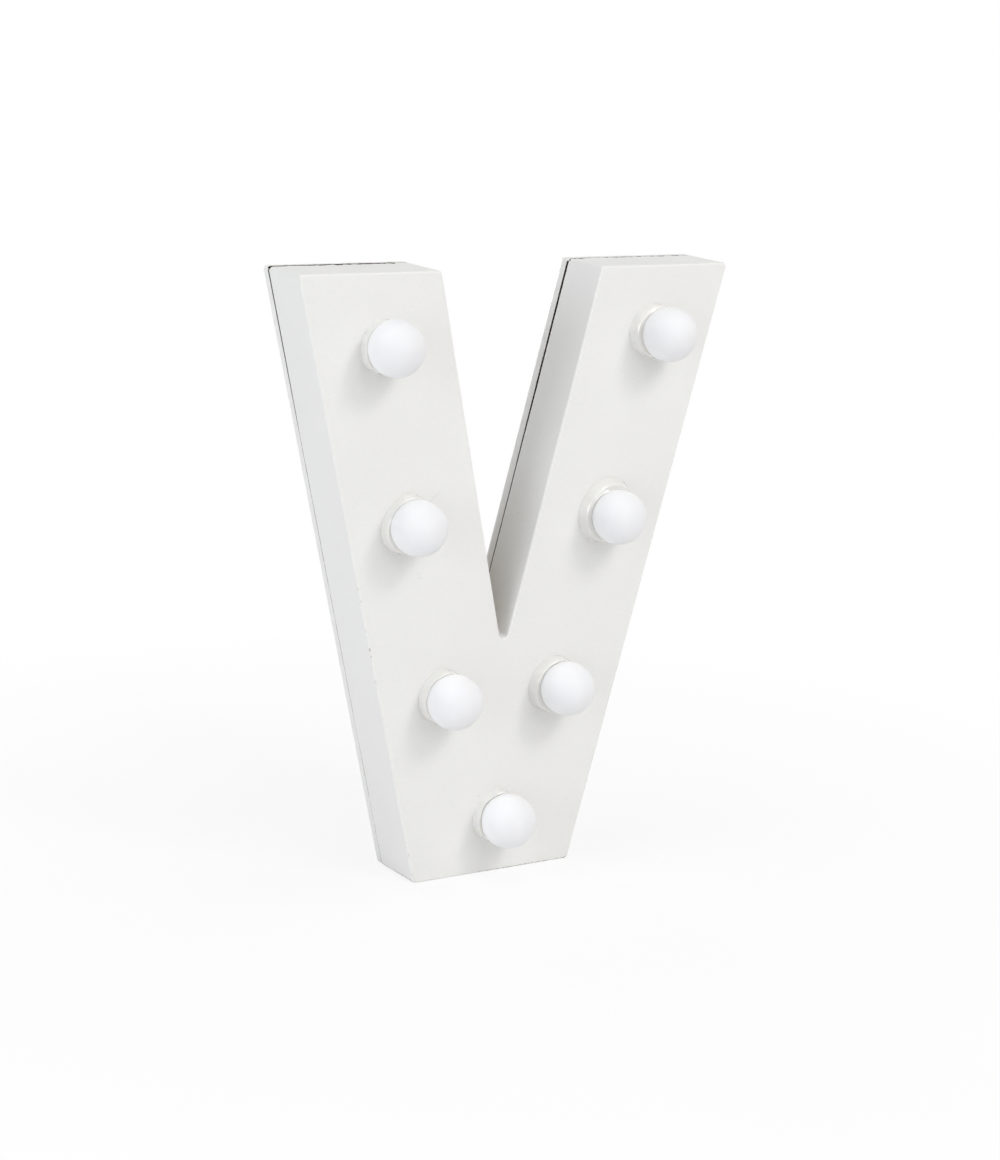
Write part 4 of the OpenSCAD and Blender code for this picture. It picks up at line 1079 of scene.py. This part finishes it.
floor_mesh = bpy.data.meshes.new("floor")
floor_mesh.from_pydata([(-4, -4, 0), (4, -4, 0), (4, 4, 0), (-4, 4, 0)], [], [(0, 1, 2, 3)])
floor_mesh.materials.append(pale_floor())
floor = placed("floor", floor_mesh)

world = bpy.data.worlds.new("studio")
bpy.context.scene.world = world
world.use_nodes = True
sky = world.node_tree
way = fit(sky, "ShaderNodeVectorMath", {
    0: fit(sky, "ShaderNodeTexCoord").outputs["Generated"], 1: (0.0, -0.9, 0.55)}, operation="DOT_PRODUCT")
pale = sky.nodes["Background"]
strength = ranged(sky, way.outputs["Value"], -0.7, 0.35, 0.03, 0.5)
set_inputs(sky, pale, {"Color": colour(1, 1, 1), "Strength": strength})
white = fit(sky, "ShaderNodeBackground", {"Color": colour(1, 1, 1), "Strength": 1.0})
surround = fit(sky, "ShaderNodeMixShader", {
    0: white_rays(sky), 1: pale.outputs["Background"], 2: white.outputs["Background"]})
set_inputs(sky, sky.nodes["World Output"], {"Surface": surround.outputs["Shader"]})

MIDDLE = Vector((0, 0, 0.085))


def soft_lamp(name, way, distance, size, watts, tone):
    """A round soft lamp that faces the letter's middle."""
    light = bpy.data.lights.new(name, "AREA")
    light.shape = "DISK"
    light.size = size
    light.energy = watts
    light.color = tone
    lamp = placed(name, light)
    lamp.location = MIDDLE + Vector(way).normalized() * distance
    lamp.rotation_euler = (MIDDLE - lamp.location).to_track_quat("-Z", "Y").to_euler()


soft_lamp("front_lamp", (0.14, -1.0, 0.62), 1.6, 1.1, 5.8, (1.0, 0.992, 0.972))
soft_lamp("right_lamp", (0.45, -1.0, 1.05), 1.6, 0.45, 4.3, (1.0, 0.992, 0.972))
soft_lamp("left_lamp", (-1.0, -0.12, 0.14), 1.3, 1.0, 7.3, (0.93, 0.965, 1.0))
soft_lamp("top_lamp", (0.0, -0.05, 1.0), 1.3, 0.3, 2.4, (0.99, 0.995, 1.0))
soft_lamp("rear_lamp", (0.0, 1.0, 0.12), 1.5, 0.25, 7.5, (1.0, 1.0, 1.0))

# Viewpoint: the camera stands to the left of the letter's front and a little above it, and leans by a
# few degrees, as in the photograph.
EYE = Vector((-0.396016, -0.600227, 0.252392))
TURN = 33.694
DROP = 13.5
ROLL = 3.053
lens = bpy.data.cameras.new("viewpoint")
lens.lens = 85.179
lens.sensor_width = 36
camera = placed("viewpoint", lens)
turned_by = Matrix.Rotation(math.radians(-TURN), 4, "Z") @ Matrix.Rotation(math.radians(90 - DROP), 4, "X")
camera.matrix_world = Matrix.Translation(EYE) @ turned_by @ Matrix.Rotation(math.radians(ROLL), 4, "Z")
bpy.context.scene.camera = camera
bpy.context.scene.view_settings.view_transform = "Standard"
